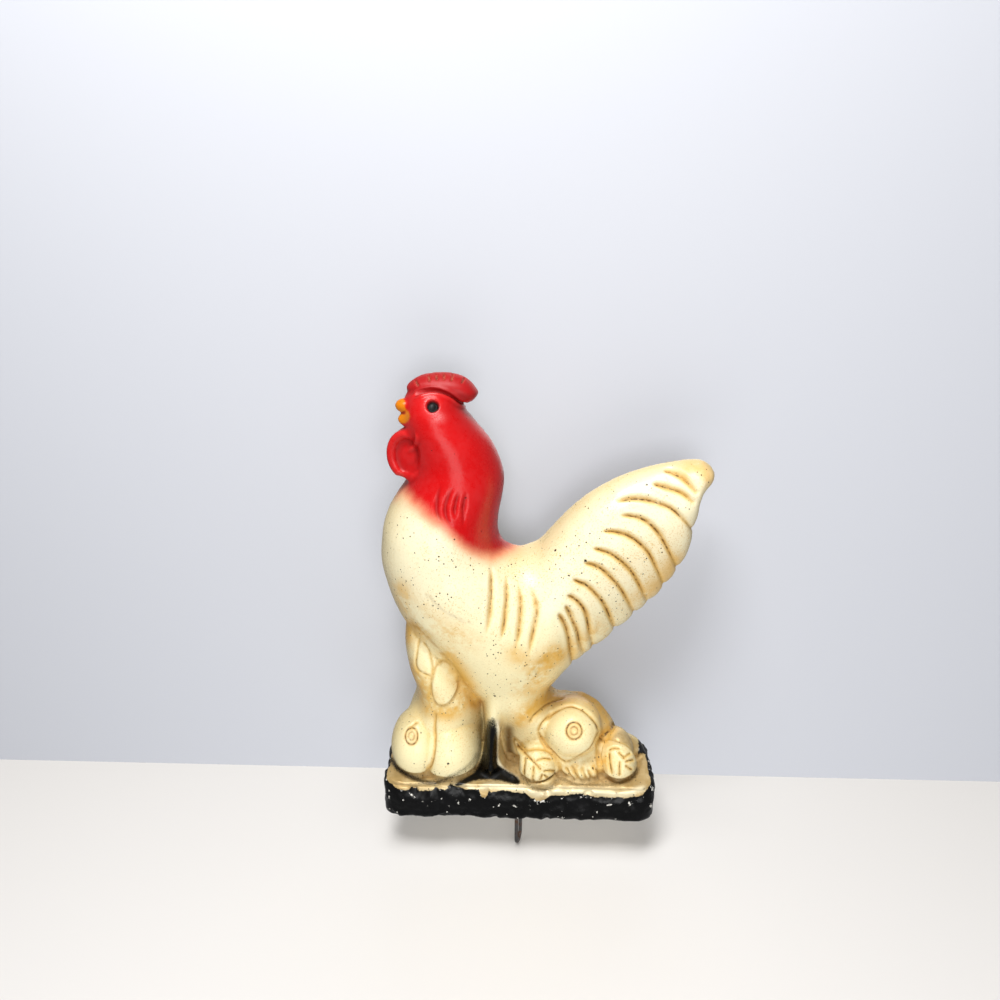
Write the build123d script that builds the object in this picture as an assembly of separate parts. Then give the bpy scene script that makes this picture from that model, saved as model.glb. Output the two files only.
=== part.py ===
from build123d import *
import os

# A painted plaster rooster for the wall, cast in one piece against a flat back.
# Millimetres. The front faces -Y, the flat back lies in the plane y = 0, +Z is up.
# The origin is the middle of the wire staple that the figure hangs from.

# Overall sizes
figure_height = 280.0
relief_depth = 50.0
base_width = 172.0
base_depth = 50.0
base_height = 25.0
base_corner_radius = 11.0
base_edge_radius = 4.0
cut_overrun = 10.0

# Head details
eye_radius = 3.6
beak_radius = 5.0
wattle_width = 27.0
wattle_height = 31.0
wattle_thickness = 15.0
wattle_turn = 30.0
wattle_rim = 4.5
wattle_dish = 4.0

# Carved lines
neck_groove_radius = 1.3
wing_groove_radius = 1.7
tail_groove_radius = 1.5

# Steel wire, one stock for the loop below the base and for the hanger staple
wire_diameter = 2.4
wire_fit = 0.05
loop_outer_width = 12.0
loop_drop = 28.5
loop_embed = 16.0
loop_setback = 14.0
loop_twist = 15.0

# Hanger staple in its pocket in the flat back
hang_height = 158.0
hang_offset = -8.0
pocket_width = 28.0
pocket_height = 20.0
pocket_depth = 9.0
pocket_corner_radius = 4.0
staple_span = 18.0
staple_bend_radius = 3.0
staple_embed = 10.0
staple_recess = 1.2

wire_radius = wire_diameter / 2
bird_height = figure_height - base_height

# Each station is an ellipse seen edge-on from the front: its two ends as shares
# (across, up) of the bird's height above the base, then its depth as a share of
# the relief depth. The first form runs from the head down the neck, round the
# belly and out along the tail.
body_and_tail_shares = [
    ((-0.236, 0.973), (-0.182, 0.973), 0.18),
    ((-0.260, 0.952), (-0.150, 0.952), 0.42),
    ((-0.268, 0.915), (-0.134, 0.915), 0.52),
    ((-0.266, 0.870), (-0.102, 0.872), 0.57),
    ((-0.260, 0.825), (-0.068, 0.828), 0.60),
    ((-0.260, 0.785), (-0.050, 0.785), 0.64),
    ((-0.275, 0.745), (-0.043, 0.745), 0.70),
    ((-0.302, 0.705), (-0.047, 0.705), 0.78),
    ((-0.327, 0.660), (-0.056, 0.655), 0.86),
    ((-0.341, 0.605), (-0.057, 0.612), 0.92),
    ((-0.342, 0.520), (-0.044, 0.584), 0.95),
    ((-0.300, 0.395), (-0.022, 0.571), 0.98),
    ((-0.190, 0.235), (0.000, 0.568), 0.98),
    ((-0.050, 0.130), (0.022, 0.575), 0.95),
    ((0.062, 0.180), (0.046, 0.588), 0.88),
    ((0.126, 0.252), (0.076, 0.622), 0.79),
    ((0.176, 0.296), (0.112, 0.662), 0.72),
    ((0.230, 0.345), (0.160, 0.706), 0.65),
    ((0.290, 0.402), (0.224, 0.745), 0.58),
    ((0.352, 0.470), (0.280, 0.768), 0.52),
    ((0.397, 0.550), (0.338, 0.784), 0.47),
    ((0.414, 0.640), (0.386, 0.792), 0.41),
    ((0.424, 0.705), (0.420, 0.793), 0.35),
    ((0.446, 0.736), (0.444, 0.780), 0.24),
    ((0.456, 0.752), (0.455, 0.764), 0.08),
]
leg_shares = [
    ((-0.100, 0.300), (0.030, 0.300), 0.50),
    ((-0.098, 0.200), (0.040, 0.200), 0.66),
    ((-0.093, 0.120), (-0.025, 0.120), 0.74),
    ((-0.091, 0.060), (-0.055, 0.060), 0.75),
    ((-0.110, 0.015), (-0.038, 0.015), 0.80),
    ((-0.165, -0.030), (0.012, -0.030), 0.86),
]
comb_shares = [
    ((-0.270, 0.963), (-0.268, 0.955), 0.06),
    ((-0.259, 0.975), (-0.259, 0.948), 0.17),
    ((-0.236, 0.989), (-0.239, 0.945), 0.25),
    ((-0.208, 0.998), (-0.208, 0.942), 0.28),
    ((-0.172, 1.000), (-0.170, 0.936), 0.29),
    ((-0.141, 0.994), (-0.141, 0.931), 0.28),
    ((-0.122, 0.984), (-0.122, 0.932), 0.24),
    ((-0.110, 0.970), (-0.112, 0.944), 0.16),
    ((-0.105, 0.961), (-0.105, 0.955), 0.06),
]
left_leaves_shares = [
    ((-0.286, 0.408), (-0.262, 0.408), 0.28),
    ((-0.292, 0.365), (-0.220, 0.372), 0.52),
    ((-0.294, 0.310), (-0.165, 0.315), 0.68),
    ((-0.286, 0.255), (-0.130, 0.255), 0.75),
    ((-0.272, 0.208), (-0.110, 0.208), 0.76),
    ((-0.272, 0.165), (-0.098, 0.165), 0.76),
    ((-0.290, 0.115), (-0.094, 0.115), 0.78),
    ((-0.306, 0.050), (-0.094, 0.050), 0.78),
    ((-0.306, -0.030), (-0.094, -0.030), 0.70),
]

# Rounded lumps that stand on the base. Centre: across as a share of the base
# width, up as a share of the bird's height, out as a share of the base depth.
# Then half width, half height and half depth as shares of the same three sizes.
lump_shares = [
    (-0.384, 0.050, 0.44, 0.106, 0.094, 0.48),
    (-0.264, 0.048, 0.46, 0.120, 0.100, 0.52),
    (0.185, 0.075, 0.20, 0.180, 0.108, 0.62),
    (0.198, 0.098, 0.50, 0.114, 0.071, 0.44),
    (0.068, 0.020, 0.62, 0.080, 0.070, 0.37),
    (-0.035, 0.067, 0.48, 0.052, 0.092, 0.36),
    (0.184, 0.020, 0.60, 0.031, 0.050, 0.34),
    (0.237, 0.016, 0.60, 0.031, 0.050, 0.34),
    (0.290, 0.020, 0.58, 0.031, 0.054, 0.34),
    (0.374, 0.024, 0.54, 0.074, 0.064, 0.33),
]

# Carved lines, each an arc through three points laid on the front surface, as
# shares (across, up) of the bird's height above the base.
neck_line_shares = [
    ((-0.176, 0.776), (-0.190, 0.720), (-0.170, 0.680)),
    ((-0.150, 0.768), (-0.172, 0.714), (-0.153, 0.668)),
    ((-0.140, 0.758), (-0.152, 0.705), (-0.140, 0.655)),
    ((-0.125, 0.752), (-0.132, 0.705), (-0.132, 0.655)),
]
wing_line_shares = [
    ((-0.070, 0.590), (-0.066, 0.500), (-0.086, 0.405)),
    ((-0.036, 0.570), (-0.032, 0.480), (-0.050, 0.390)),
    ((-0.006, 0.552), (0.002, 0.460), (-0.014, 0.360)),
    ((0.018, 0.538), (0.036, 0.450), (0.018, 0.350)),
]
tail_line_shares = [
    ((0.090, 0.428), (0.118, 0.380), (0.130, 0.305)),
    ((0.107, 0.452), (0.138, 0.405), (0.152, 0.320)),
    ((0.110, 0.475), (0.160, 0.430), (0.186, 0.338)),
    ((0.122, 0.518), (0.185, 0.468), (0.238, 0.362)),
    ((0.145, 0.560), (0.220, 0.505), (0.285, 0.408)),
    ((0.170, 0.598), (0.252, 0.550), (0.330, 0.460)),
    ((0.190, 0.640), (0.285, 0.595), (0.372, 0.520)),
    ((0.228, 0.680), (0.320, 0.638), (0.395, 0.575)),
    ((0.216, 0.716), (0.310, 0.708), (0.406, 0.640)),
    ((0.298, 0.758), (0.345, 0.745), (0.412, 0.700)),
    ((0.322, 0.788), (0.360, 0.782), (0.408, 0.740)),
]

# Places on the head, as shares (across, up) of the bird's height above the base,
# and out from the back as a share of the relief depth.
eye_shares = (-0.200, 0.942)
beak_shares = [(-0.268, 0.932, 0.14), (-0.262, 0.902, 0.14)]
wattle_shares = (-0.264, 0.812, 0.32)


def bird_place(across, up):
    """The across and up of a place given as shares of the bird's height."""
    return across * bird_height, base_height + up * bird_height


def lofted_form(stations):
    """A rounded form through ellipses whose two ends lie on its outline."""
    sections = []
    for first_shares, last_shares, depth_share in stations:
        x1, z1 = bird_place(*first_shares)
        x2, z2 = bird_place(*last_shares)
        across = Vector(x2 - x1, 0, z2 - z1)
        middle = Vector(x1, 0, z1) + across / 2
        section = Plane(middle, x_dir=across, z_dir=across.cross(Vector(0, 1, 0)))
        sections.append(section * Ellipse(across.length / 2, depth_share * relief_depth))
    return loft(sections)


def ellipsoid(centre, half_sizes):
    """A sphere of one unit stretched to three half sizes."""
    return Pos(*centre) * scale(Sphere(1), by=half_sizes)


def lump(shares):
    """A fruit or a leaf as an ellipsoid that stands on the base."""
    across, up, out, half_width, half_height, half_depth = shares
    centre = (across * base_width, -out * base_depth, base_height + up * bird_height)
    half_sizes = (half_width * base_width, half_depth * base_depth, half_height * bird_height)
    return ellipsoid(centre, half_sizes)


def front_point(shape, across, up):
    """The frontmost point of the shape over a place in the front view."""
    x, z = bird_place(across, up)
    ray = Axis((x, -figure_height, z), (0, 1, 0))
    hits = [point for point, normal in shape.find_intersection_points(ray)]
    return min(hits, key=lambda point: point.Y) if hits else Vector(x, 0, z)


def round_wire(path, radius):
    """A round bar of one radius along a path."""
    return sweep(Plane(path @ 0, z_dir=path % 0) * Circle(radius), path=path)


def carved_lines(shape, table, radius):
    """Round tools along arcs laid on the front surface of the shape."""
    tools = []
    for places in table:
        laid = [front_point(shape, *place) for place in places]
        tools.append(round_wire(ThreePointArc(*laid), radius))
    return tools


def make_base():
    """The plinth: a block with rounded front corners and softened edges."""
    block = Box(base_width, base_depth, base_height, align=(Align.CENTER, Align.MAX, Align.MIN))
    corners = block.edges().filter_by(Axis.Z).group_by(Axis.Y)[0]
    block = fillet(corners, base_corner_radius)
    walls = block.edges().filter_by(Axis.Z)
    rims = [edge for edge in block.edges() if edge not in walls and edge.center().Y < 0]
    return fillet(rims, base_edge_radius).solid()


def make_beak():
    """Two rounded bumps, the upper and the lower half of the beak."""
    bumps = []
    for across, up, out in beak_shares:
        x, z = bird_place(across, up)
        bumps.append(Pos(x, -out * relief_depth, z) * Sphere(beak_radius))
    return bumps


def make_wattle():
    """An oval pad turned to the front, dished inside a raised rim, on a stem."""
    across, up, out = wattle_shares
    x, z = bird_place(across, up)
    y = -out * relief_depth
    half_width, half_height = wattle_width / 2, wattle_height / 2
    facing = Pos(x, y, z) * Rot(0, 0, -wattle_turn)
    pad = scale(Sphere(1), by=(half_width, wattle_thickness / 2, half_height))
    dish_sizes = (half_width - wattle_rim, wattle_dish, half_height - wattle_rim)
    dish = Pos(0, -wattle_thickness / 2, 0) * scale(Sphere(1), by=dish_sizes)
    stem = ellipsoid((x, 0, z), (half_width - wattle_rim / 2, -y, half_height - wattle_rim / 2))
    return [facing * (pad - dish), stem]


def trimmed(form):
    """The part of a form that lies in front of the flat back and above the underside."""
    box = form.bounding_box()
    if box.max.Y > 0:
        form = split(form, bisect_by=Plane.XZ, keep=Keep.TOP)
    if box.min.Z < 0:
        form = split(form, bisect_by=Plane.XY, keep=Keep.TOP)
    return form


def base_loop(radius):
    """The wire loop: two legs cast into the underside, joined by a half circle."""
    bend = (loop_outer_width - wire_diameter) / 2
    low = bend + wire_radius - loop_drop
    plane = Plane(
        (0, loop_setback - base_depth, 0),
        x_dir=Vector(0, 1, 0).rotate(Axis.Z, -loop_twist),
        z_dir=Vector(1, 0, 0).rotate(Axis.Z, -loop_twist),
    )
    path = Wire(
        [
            Line((-bend, loop_embed), (-bend, low)),
            ThreePointArc((-bend, low), (0, low - bend), (bend, low)),
            Line((bend, low), (bend, loop_embed)),
        ]
    )
    return round_wire(plane * path, radius)


def hanger_staple(radius):
    """The wire staple across the pocket, with both legs cast into the plaster."""
    out = staple_recess + wire_radius
    deep = pocket_depth + staple_embed
    half_span = staple_span / 2 - wire_radius
    path = FilletPolyline(
        (hang_offset - half_span, -deep, hang_height),
        (hang_offset - half_span, -out, hang_height),
        (hang_offset + half_span, -out, hang_height),
        (hang_offset + half_span, -deep, hang_height),
        radius=staple_bend_radius,
    )
    return round_wire(path, radius)


def hanger_pocket():
    """The recess in the back with its rounded corners."""
    opening = RectangleRounded(pocket_width, pocket_height, pocket_corner_radius)
    cutter = extrude(opening, pocket_depth + cut_overrun)
    back = Plane((hang_offset, cut_overrun, hang_height), x_dir=(1, 0, 0), z_dir=(0, -1, 0))
    return back * cutter


def make_casting():
    """The whole plaster casting with its carved lines, pocket and wire holes."""
    bird = trimmed(lofted_form(body_and_tail_shares))
    rest = [lofted_form(table) for table in (leg_shares, comb_shares, left_leaves_shares)]
    lumps = [lump(shares) for shares in lump_shares]
    rest = [trimmed(form) for form in rest + lumps + make_beak() + make_wattle()]
    raw = make_base().fuse(bird, *rest)
    tools = carved_lines(bird, neck_line_shares, neck_groove_radius)
    tools += carved_lines(bird, wing_line_shares, wing_groove_radius)
    tools += carved_lines(bird, tail_line_shares, tail_groove_radius)
    tools.append(Pos(front_point(bird, *eye_shares)) * Sphere(eye_radius))
    tools.append(hanger_pocket())
    tools.append(base_loop(wire_radius + wire_fit))
    tools.append(hanger_staple(wire_radius + wire_fit))
    return raw - tools


pieces = {
    "plaster_casting": make_casting(),
    "base_loop": base_loop(wire_radius),
    "hanger_staple": hanger_staple(wire_radius),
}
to_origin = Pos(-hang_offset, staple_recess + wire_radius, -hang_height)
os.makedirs("parts", exist_ok=True)
for name, piece in pieces.items():
    export_step(to_origin * piece, f"parts/{name}.step")
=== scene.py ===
"""A painted plaster rooster for the wall, standing on a plinth between fruit and leaves.

Metres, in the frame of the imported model: the front faces -Y, the flat back lies against the wall.
The forms are rings and eggs worked out as whole arrays. They are skinned into one casting, and the
carved lines, leaves, dents and chips are then worked into that skin, as a mould maker's tools would.
"""

import math

import bmesh
import bpy
import numpy as np
from mathutils import Euler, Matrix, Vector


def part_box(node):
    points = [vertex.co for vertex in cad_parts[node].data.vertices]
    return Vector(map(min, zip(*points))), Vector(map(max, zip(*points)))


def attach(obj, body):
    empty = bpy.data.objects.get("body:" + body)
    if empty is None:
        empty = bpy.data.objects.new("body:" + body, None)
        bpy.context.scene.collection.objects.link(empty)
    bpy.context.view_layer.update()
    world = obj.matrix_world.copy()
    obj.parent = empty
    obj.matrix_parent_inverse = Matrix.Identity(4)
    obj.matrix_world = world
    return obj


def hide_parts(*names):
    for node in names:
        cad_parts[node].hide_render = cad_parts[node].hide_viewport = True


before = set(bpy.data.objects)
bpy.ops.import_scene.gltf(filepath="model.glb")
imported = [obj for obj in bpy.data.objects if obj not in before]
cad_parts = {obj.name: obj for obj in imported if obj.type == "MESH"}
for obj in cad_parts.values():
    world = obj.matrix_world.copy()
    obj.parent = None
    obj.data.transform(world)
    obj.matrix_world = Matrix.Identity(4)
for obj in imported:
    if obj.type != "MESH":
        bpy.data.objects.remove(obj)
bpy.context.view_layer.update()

bl_info = {
    "name": "Painted plaster rooster",
    "version": (1, 0, 0),
    "blender": (4, 5, 0),
    "location": "3D View > Sidebar > Rooster",
    "description": "Casts, carves and paints a plaster rooster round its packed model",
    "category": "Add Mesh",
}

MM = 0.001
cast_low, cast_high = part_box("plaster_casting")
loop_low, loop_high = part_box("base_loop")

# Where the casting lies: the middle of its plinth, its flat back and its underside.
MIDDLE_X = (loop_low.x + loop_high.x) / 2
BACK_Y = cast_high.y
UNDERSIDE_Z = cast_low.z

# The photograph's frame, in pixels.
PHOTO_SIZE = 1000.0
PHOTO_MIDDLE = PHOTO_SIZE / 2
FULL_PAINT = 255.0

# Each row is an ellipse seen edge-on from the front: its two ends as shares (across, up) of the
# bird's height above the plinth, then its depth as a share of the relief depth.
BODY_AND_TAIL_SHARES = [
    (-0.236, 0.973, -0.182, 0.973, 0.18),
    (-0.266, 0.952, -0.150, 0.952, 0.42),
    (-0.281, 0.918, -0.134, 0.915, 0.53),
    (-0.281, 0.880, -0.104, 0.876, 0.58),
    (-0.268, 0.835, -0.072, 0.835, 0.61),
    (-0.262, 0.785, -0.050, 0.785, 0.64),
    (-0.275, 0.745, -0.043, 0.745, 0.70),
    (-0.302, 0.705, -0.047, 0.705, 0.78),
    (-0.327, 0.660, -0.056, 0.655, 0.86),
    (-0.341, 0.605, -0.057, 0.612, 0.92),
    (-0.342, 0.520, -0.044, 0.584, 0.95),
    (-0.300, 0.395, -0.022, 0.571, 0.98),
    (-0.190, 0.235, 0.000, 0.568, 0.98),
    (-0.050, 0.130, 0.022, 0.575, 0.95),
    (0.062, 0.180, 0.046, 0.588, 0.88),
    (0.126, 0.252, 0.076, 0.622, 0.79),
    (0.176, 0.296, 0.112, 0.662, 0.72),
    (0.230, 0.345, 0.160, 0.706, 0.65),
    (0.290, 0.402, 0.224, 0.745, 0.58),
    (0.352, 0.470, 0.280, 0.768, 0.52),
    (0.397, 0.550, 0.338, 0.784, 0.47),
    (0.414, 0.640, 0.386, 0.792, 0.41),
    (0.424, 0.705, 0.420, 0.793, 0.35),
    (0.446, 0.736, 0.444, 0.780, 0.24),
    (0.456, 0.752, 0.455, 0.764, 0.08),
]
LEG_SHARES = [
    (-0.110, 0.300, 0.030, 0.300, 0.70),
    (-0.100, 0.200, -0.020, 0.200, 0.80),
    (-0.094, 0.120, -0.040, 0.120, 0.80),
    (-0.092, 0.060, -0.048, 0.060, 0.80),
    (-0.108, 0.015, -0.034, 0.015, 0.84),
    (-0.165, -0.030, 0.012, -0.030, 0.90),
]
THIGH_SHARES = [
    (-0.170, 0.330, 0.110, 0.290, 0.80),
    (-0.122, 0.250, 0.082, 0.225, 0.82),
    (-0.098, 0.196, 0.078, 0.178, 0.80),
    (-0.080, 0.150, 0.120, 0.140, 0.74),
    (-0.065, 0.090, 0.150, 0.080, 0.60),
    (-0.060, 0.035, 0.160, 0.030, 0.56),
    (-0.060, -0.030, 0.160, -0.030, 0.56),
]
SHOULDER_SHARES = [
    (0.095, 0.160, 0.165, 0.155, 0.36),
    (0.056, 0.146, 0.202, 0.132, 0.60),
    (0.034, 0.112, 0.226, 0.104, 0.72),
    (0.012, 0.078, 0.246, 0.074, 0.78),
    (0.000, 0.045, 0.262, 0.040, 0.80),
    (-0.004, 0.000, 0.286, 0.000, 0.78),
    (-0.004, -0.030, 0.290, -0.030, 0.74),
]
COMB_SHARES = [
    (-0.270, 0.963, -0.268, 0.955, 0.06),
    (-0.259, 0.975, -0.259, 0.948, 0.17),
    (-0.236, 0.989, -0.239, 0.945, 0.25),
    (-0.208, 0.995, -0.208, 0.944, 0.28),
    (-0.172, 0.996, -0.170, 0.937, 0.29),
    (-0.141, 0.989, -0.141, 0.929, 0.28),
    (-0.122, 0.977, -0.122, 0.928, 0.25),
    (-0.109, 0.962, -0.111, 0.936, 0.18),
    (-0.103, 0.953, -0.103, 0.947, 0.06),
]
LEFT_LEAVES_SHARES = [
    (-0.286, 0.408, -0.262, 0.408, 0.28),
    (-0.292, 0.365, -0.220, 0.372, 0.52),
    (-0.294, 0.310, -0.165, 0.315, 0.68),
    (-0.286, 0.255, -0.130, 0.255, 0.75),
    (-0.272, 0.208, -0.110, 0.208, 0.76),
    (-0.272, 0.165, -0.098, 0.165, 0.76),
    (-0.290, 0.115, -0.094, 0.115, 0.78),
    (-0.306, 0.050, -0.094, 0.050, 0.78),
    (-0.306, -0.030, -0.094, -0.030, 0.70),
]

# Rounded lumps on the plinth. Centre: across as a share of the plinth's width, up as a share of
# the bird's height, out as a share of the plinth's depth. Then the half width, half height and
# half depth as shares of the same three sizes.
LUMP_SHARES = [
    (-0.384, 0.050, 0.44, 0.106, 0.094, 0.48),
    (-0.264, 0.048, 0.46, 0.120, 0.100, 0.52),
    (0.200, 0.112, 0.46, 0.112, 0.070, 0.47),
    (0.068, 0.022, 0.46, 0.076, 0.066, 0.46),
    (0.236, 0.012, 0.46, 0.105, 0.056, 0.43),
    (0.370, 0.026, 0.44, 0.070, 0.064, 0.42),
    (0.384, -0.004, 0.20, 0.108, 0.055, 0.28),
    (-0.448, -0.020, 0.20, 0.060, 0.043, 0.28),
]

# The middles of the beak's two halves and of the wattle, as shares of the bird's height and of the
# relief depth, and how far each half of the beak reaches to all sides.
BEAK_SHARES = [(-0.266, 0.926, 0.22), (-0.260, 0.895, 0.25)]
BEAK_HALVES = (6.6 * MM, 5.8 * MM, 4.3 * MM)
WATTLE_SHARES = (-0.264, 0.812, 0.32)

# The wattle: half width and half height, the radius of its rolled rim, how thin its pad is and how
# far it lies in front of the rim's middle, how far the pad stays inside the rim, and how far the
# whole is turned towards the neck.
WATTLE_HALF_WIDTH = 13.6 * MM
WATTLE_HALF_HEIGHT = 15.8 * MM
WATTLE_RIM = 2.7 * MM
WATTLE_PAD_HALF = 3.4 * MM
WATTLE_PAD_SHIFT = 2.0 * MM
WATTLE_PAD_INSET = 0.5 * MM
WATTLE_TURN = math.radians(-20)

# Carved lines, in pixels of the photograph. They are laid on the skin along the camera's rays.
NECK_LINES_PX = [
    [(443, 482), (438, 494), (436, 508), (439, 518), (447, 525)],
    [(455, 485), (449, 495), (445, 508), (447, 519), (454, 529)],
    [(460, 490), (457, 500), (455, 511), (456, 520)],
    [(467, 491), (465, 500), (464, 511), (463, 533)],
]
WING_LINES_PX = [
    [(491, 565), (492.5, 580), (492, 596), (490, 617), (485, 638)],
    [(506, 573), (507.5, 590), (507, 605), (504, 627), (500, 643)],
    [(518, 581), (521, 599), (521, 612), (519, 633), (514, 656)],
    [(530, 586), (536, 603), (536.5, 617), (532, 640), (528, 658)],
]
TAIL_LINES_PX = [
    [(558, 613), (563, 620), (568, 630), (571, 644), (573, 661)],
    [(565, 605), (570, 613), (575, 624), (579, 634), (583, 650)],
    [(567, 595), (574, 599), (581, 605), (588, 617), (593, 645)],
    [(572, 579), (580, 583), (588, 587), (602, 601), (609, 613), (616, 630)],
    [(583, 563), (592, 565), (602, 570), (613, 580), (623, 592), (635, 613)],
    [(592, 548), (602, 551), (612, 555), (625, 565), (636, 578), (647, 599)],
    [(601, 531), (615, 532), (628, 536), (640, 544), (652, 558), (666, 588)],
    [(619, 515), (632, 516), (644, 520), (655, 529), (665, 543), (679, 570)],
    [(615, 501), (630, 498), (644, 499), (658, 503), (673, 510), (692, 528)],
    [(652, 483), (661, 485), (670, 488), (682, 493), (693, 502)],
    [(663, 470), (670, 470), (677, 473), (686, 480), (696, 492)],
]
COMB_NOTCHES_PX = [
    [(415, 379), (416.5, 383), (419, 387)],
    [(428.5, 374), (429, 378), (429, 382.5)],
    [(436, 373), (436.5, 377), (437, 381)],
    [(444, 372), (444, 377), (443.5, 381)],
    [(453, 372), (452.5, 377), (451, 382)],
    [(465, 377), (463.5, 380), (461, 384)],
]
COMB_CREASE_PX = [(413, 397), (420, 393), (430, 390.5), (441, 392), (451, 396), (460, 402), (470, 405)]
WATTLE_FOLD_PX = [(415, 431), (417, 440), (412, 448), (405, 454)]
WATTLE_DISH_PX = (407.5, 455.5)
WATTLE_DISH_HALF_PX = (14.0, 18.0)
FRUIT_CLEFT_PX = [(436, 712), (434, 724), (434, 736), (433, 749), (431, 762), (425, 779)]
LEAF_A_PX = [(420, 636), (417, 652), (416, 666), (422, 673), (433, 677)]
LEAF_A_RIGHT_PX = [(422, 641), (429, 651), (433, 664), (433, 677)]
LEAF_B_PX = [
    (434, 672), (431.5, 683), (432, 694), (436, 702), (442, 705), (450, 701.5), (456, 691), (458, 680),
    (454, 669),
]
BODY_CREASE_PX = [
    (404, 619), (420, 632), (437, 649), (452, 667), (464, 684), (472, 698), (477, 708),
]
BAND_ARC_PX = [(529, 724), (536, 714), (552, 701), (566, 697)]
FRUIT_ARC_PX = [(538, 732), (543, 723), (554, 712), (569, 705.5), (584, 710.5), (596, 722), (600, 731)]
FRUIT_LOW_LEFT_PX = [(538, 732), (546, 746), (558, 758), (566, 763)]
FRUIT_LOW_RIGHT_PX = [(600, 731), (592, 748), (580, 757), (566, 763)]
CORNER_NOTCH_PX = [(616, 722), (608, 731), (602, 740)]
LEAF_ONE_RIB_PX = [(513.8, 741.7), (524.9, 751.9), (535.5, 763.5), (541.1, 770)]
LEAF_ONE_VEINS_PX = [
    [(521.2, 754.2), (521.0, 762), (520.3, 769)], [(527.7, 756.1), (526.8, 766), (525.8, 775.5)],
    [(534.6, 764.4), (533.8, 774), (532.8, 783.8)], [(541.5, 771.8), (540.4, 775), (539.2, 779.2)],
    [(535.5, 761.6), (542, 758.9), (549.4, 759.8)], [(541.1, 770), (547.6, 769.5), (555, 770.4)],
    [(542, 772.7), (544, 774.5), (546.6, 776.4)],
]
FAN_LINES_PX = [
    [(565, 766), (569, 775), (573, 782)], [(570.7, 764.4), (574.4, 771.8), (579, 782.9)],
    [(580.9, 765.3), (583.6, 773), (588, 782)], [(587.3, 767), (590, 774), (594, 781)],
    [(595.7, 767), (601, 775), (604.9, 782.9)],
]
RIGHT_LEAF_VEINS_PX = [
    [(603, 744), (602.4, 755.2), (604.5, 768.1)], [(610.5, 752.4), (611.4, 762), (613.2, 773.7)],
    [(619.7, 759.8), (619.4, 767), (618.8, 774.6)], [(621.6, 759.8), (625, 756), (629, 753.3)],
    [(623.4, 761.7), (627, 760.5), (631.7, 759.8)], [(623.4, 764.4), (626.5, 767), (629.9, 769)],
    [(617.9, 752.4), (620, 755), (623.4, 757.9)], [(609.5, 751.5), (614.2, 749.4), (620, 750)],
]

# Outlines of the raised leaves and the blossom ends, in pixels of the photograph.
LEAF_ONE_PX = [
    (513.8, 741.7), (518.9, 754.2), (519.8, 769), (523.5, 776.4), (531.8, 783.8), (536.5, 787),
    (544.8, 788), (551.3, 785.2), (555.9, 779.2), (558.2, 771.8), (556.8, 764.4), (553.1, 757.9),
    (546.6, 752.4), (536.5, 750.5), (527.2, 751.8), (521, 747),
]
RIGHT_LEAF_PX = [
    (601.2, 741.3), (599.8, 747.8), (600.3, 758.9), (603, 769), (611.4, 777.4), (620.6, 779.2),
    (629, 775.5), (634.5, 770), (635.4, 762.6), (631.7, 752.4), (625.3, 745.9), (618.8, 743.1),
    (610, 740.5),
]
LEAF_B_PAD_PX = [
    (443, 662), (434, 674), (431.5, 688), (435, 701), (442, 705), (450, 701.5), (457, 689), (457, 675),
]
BLOSSOM_ENDS_PX = [((574.2, 730.9), (8.0, 8.8)), ((411.3, 736.0), (6.4, 8.6))]
EYE_PX = (432.7, 405.9)
COMB_AREA_PX = [
    (402, 396), (404, 384), (414, 376), (432, 371), (452, 371), (468, 378), (478, 389), (474, 398),
    (462, 401), (448, 395), (430, 389.5), (414, 394),
]
BEAK_PX = [
    (390, 396), (401, 396), (405, 401), (405.5, 408), (409, 413), (408.5, 420), (403, 424), (390, 420),
]
SCUFF_PX = (438.0, 417.5)
SCUFF_HALF_PX = (6.0, 5.0)

# Paint edges, in pixels of the photograph.
RED_EDGE_PX = [
    (380, 476), (403, 481), (412, 494), (431, 513), (455, 532), (473, 548), (491, 552), (509, 545),
    (530, 540),
]
LEG_PAINT_PX = [
    (486.5, 721), (495.5, 721), (495.8, 751), (496.5, 764.5), (502.8, 769.8), (515.3, 777.5), (518, 783),
    (501, 779.5), (487.6, 778), (474.2, 779.4), (456.4, 785), (474.2, 774), (481.4, 761.8), (486, 740),
]
LIP_PX = [
    (395, 789), (440, 789), (458, 783), (474, 788), (490, 786), (520, 789), (540, 794), (556, 791),
    (590, 792), (625, 794), (642, 789),
]
TROUGH_PX = [(398, 779), (425, 786), (445, 784), (470, 782), (500, 782), (520, 785)]
BLOSSOM_TAIL_PX = [(407, 729), (412, 726), (418, 721)]
MOUND_PX = [
    (619, 731), (632, 738), (642, 748), (649, 770), (650, 792), (636, 790), (634.5, 776), (637.5, 763),
    (633, 751), (625, 743.5), (612, 739),
]
BELLY_STAINS_PX = [
    [(425, 622), (445, 632), (470, 642)], [(515, 655), (535, 668), (545, 660)],
    [(520, 690), (545, 690), (570, 700)], [(400, 590), (408, 606), (420, 616)],
    [(690, 470), (702, 470), (708, 478)], [(640, 600), (662, 580), (676, 560)],
    [(560, 655), (580, 645), (600, 632)],
]
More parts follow.
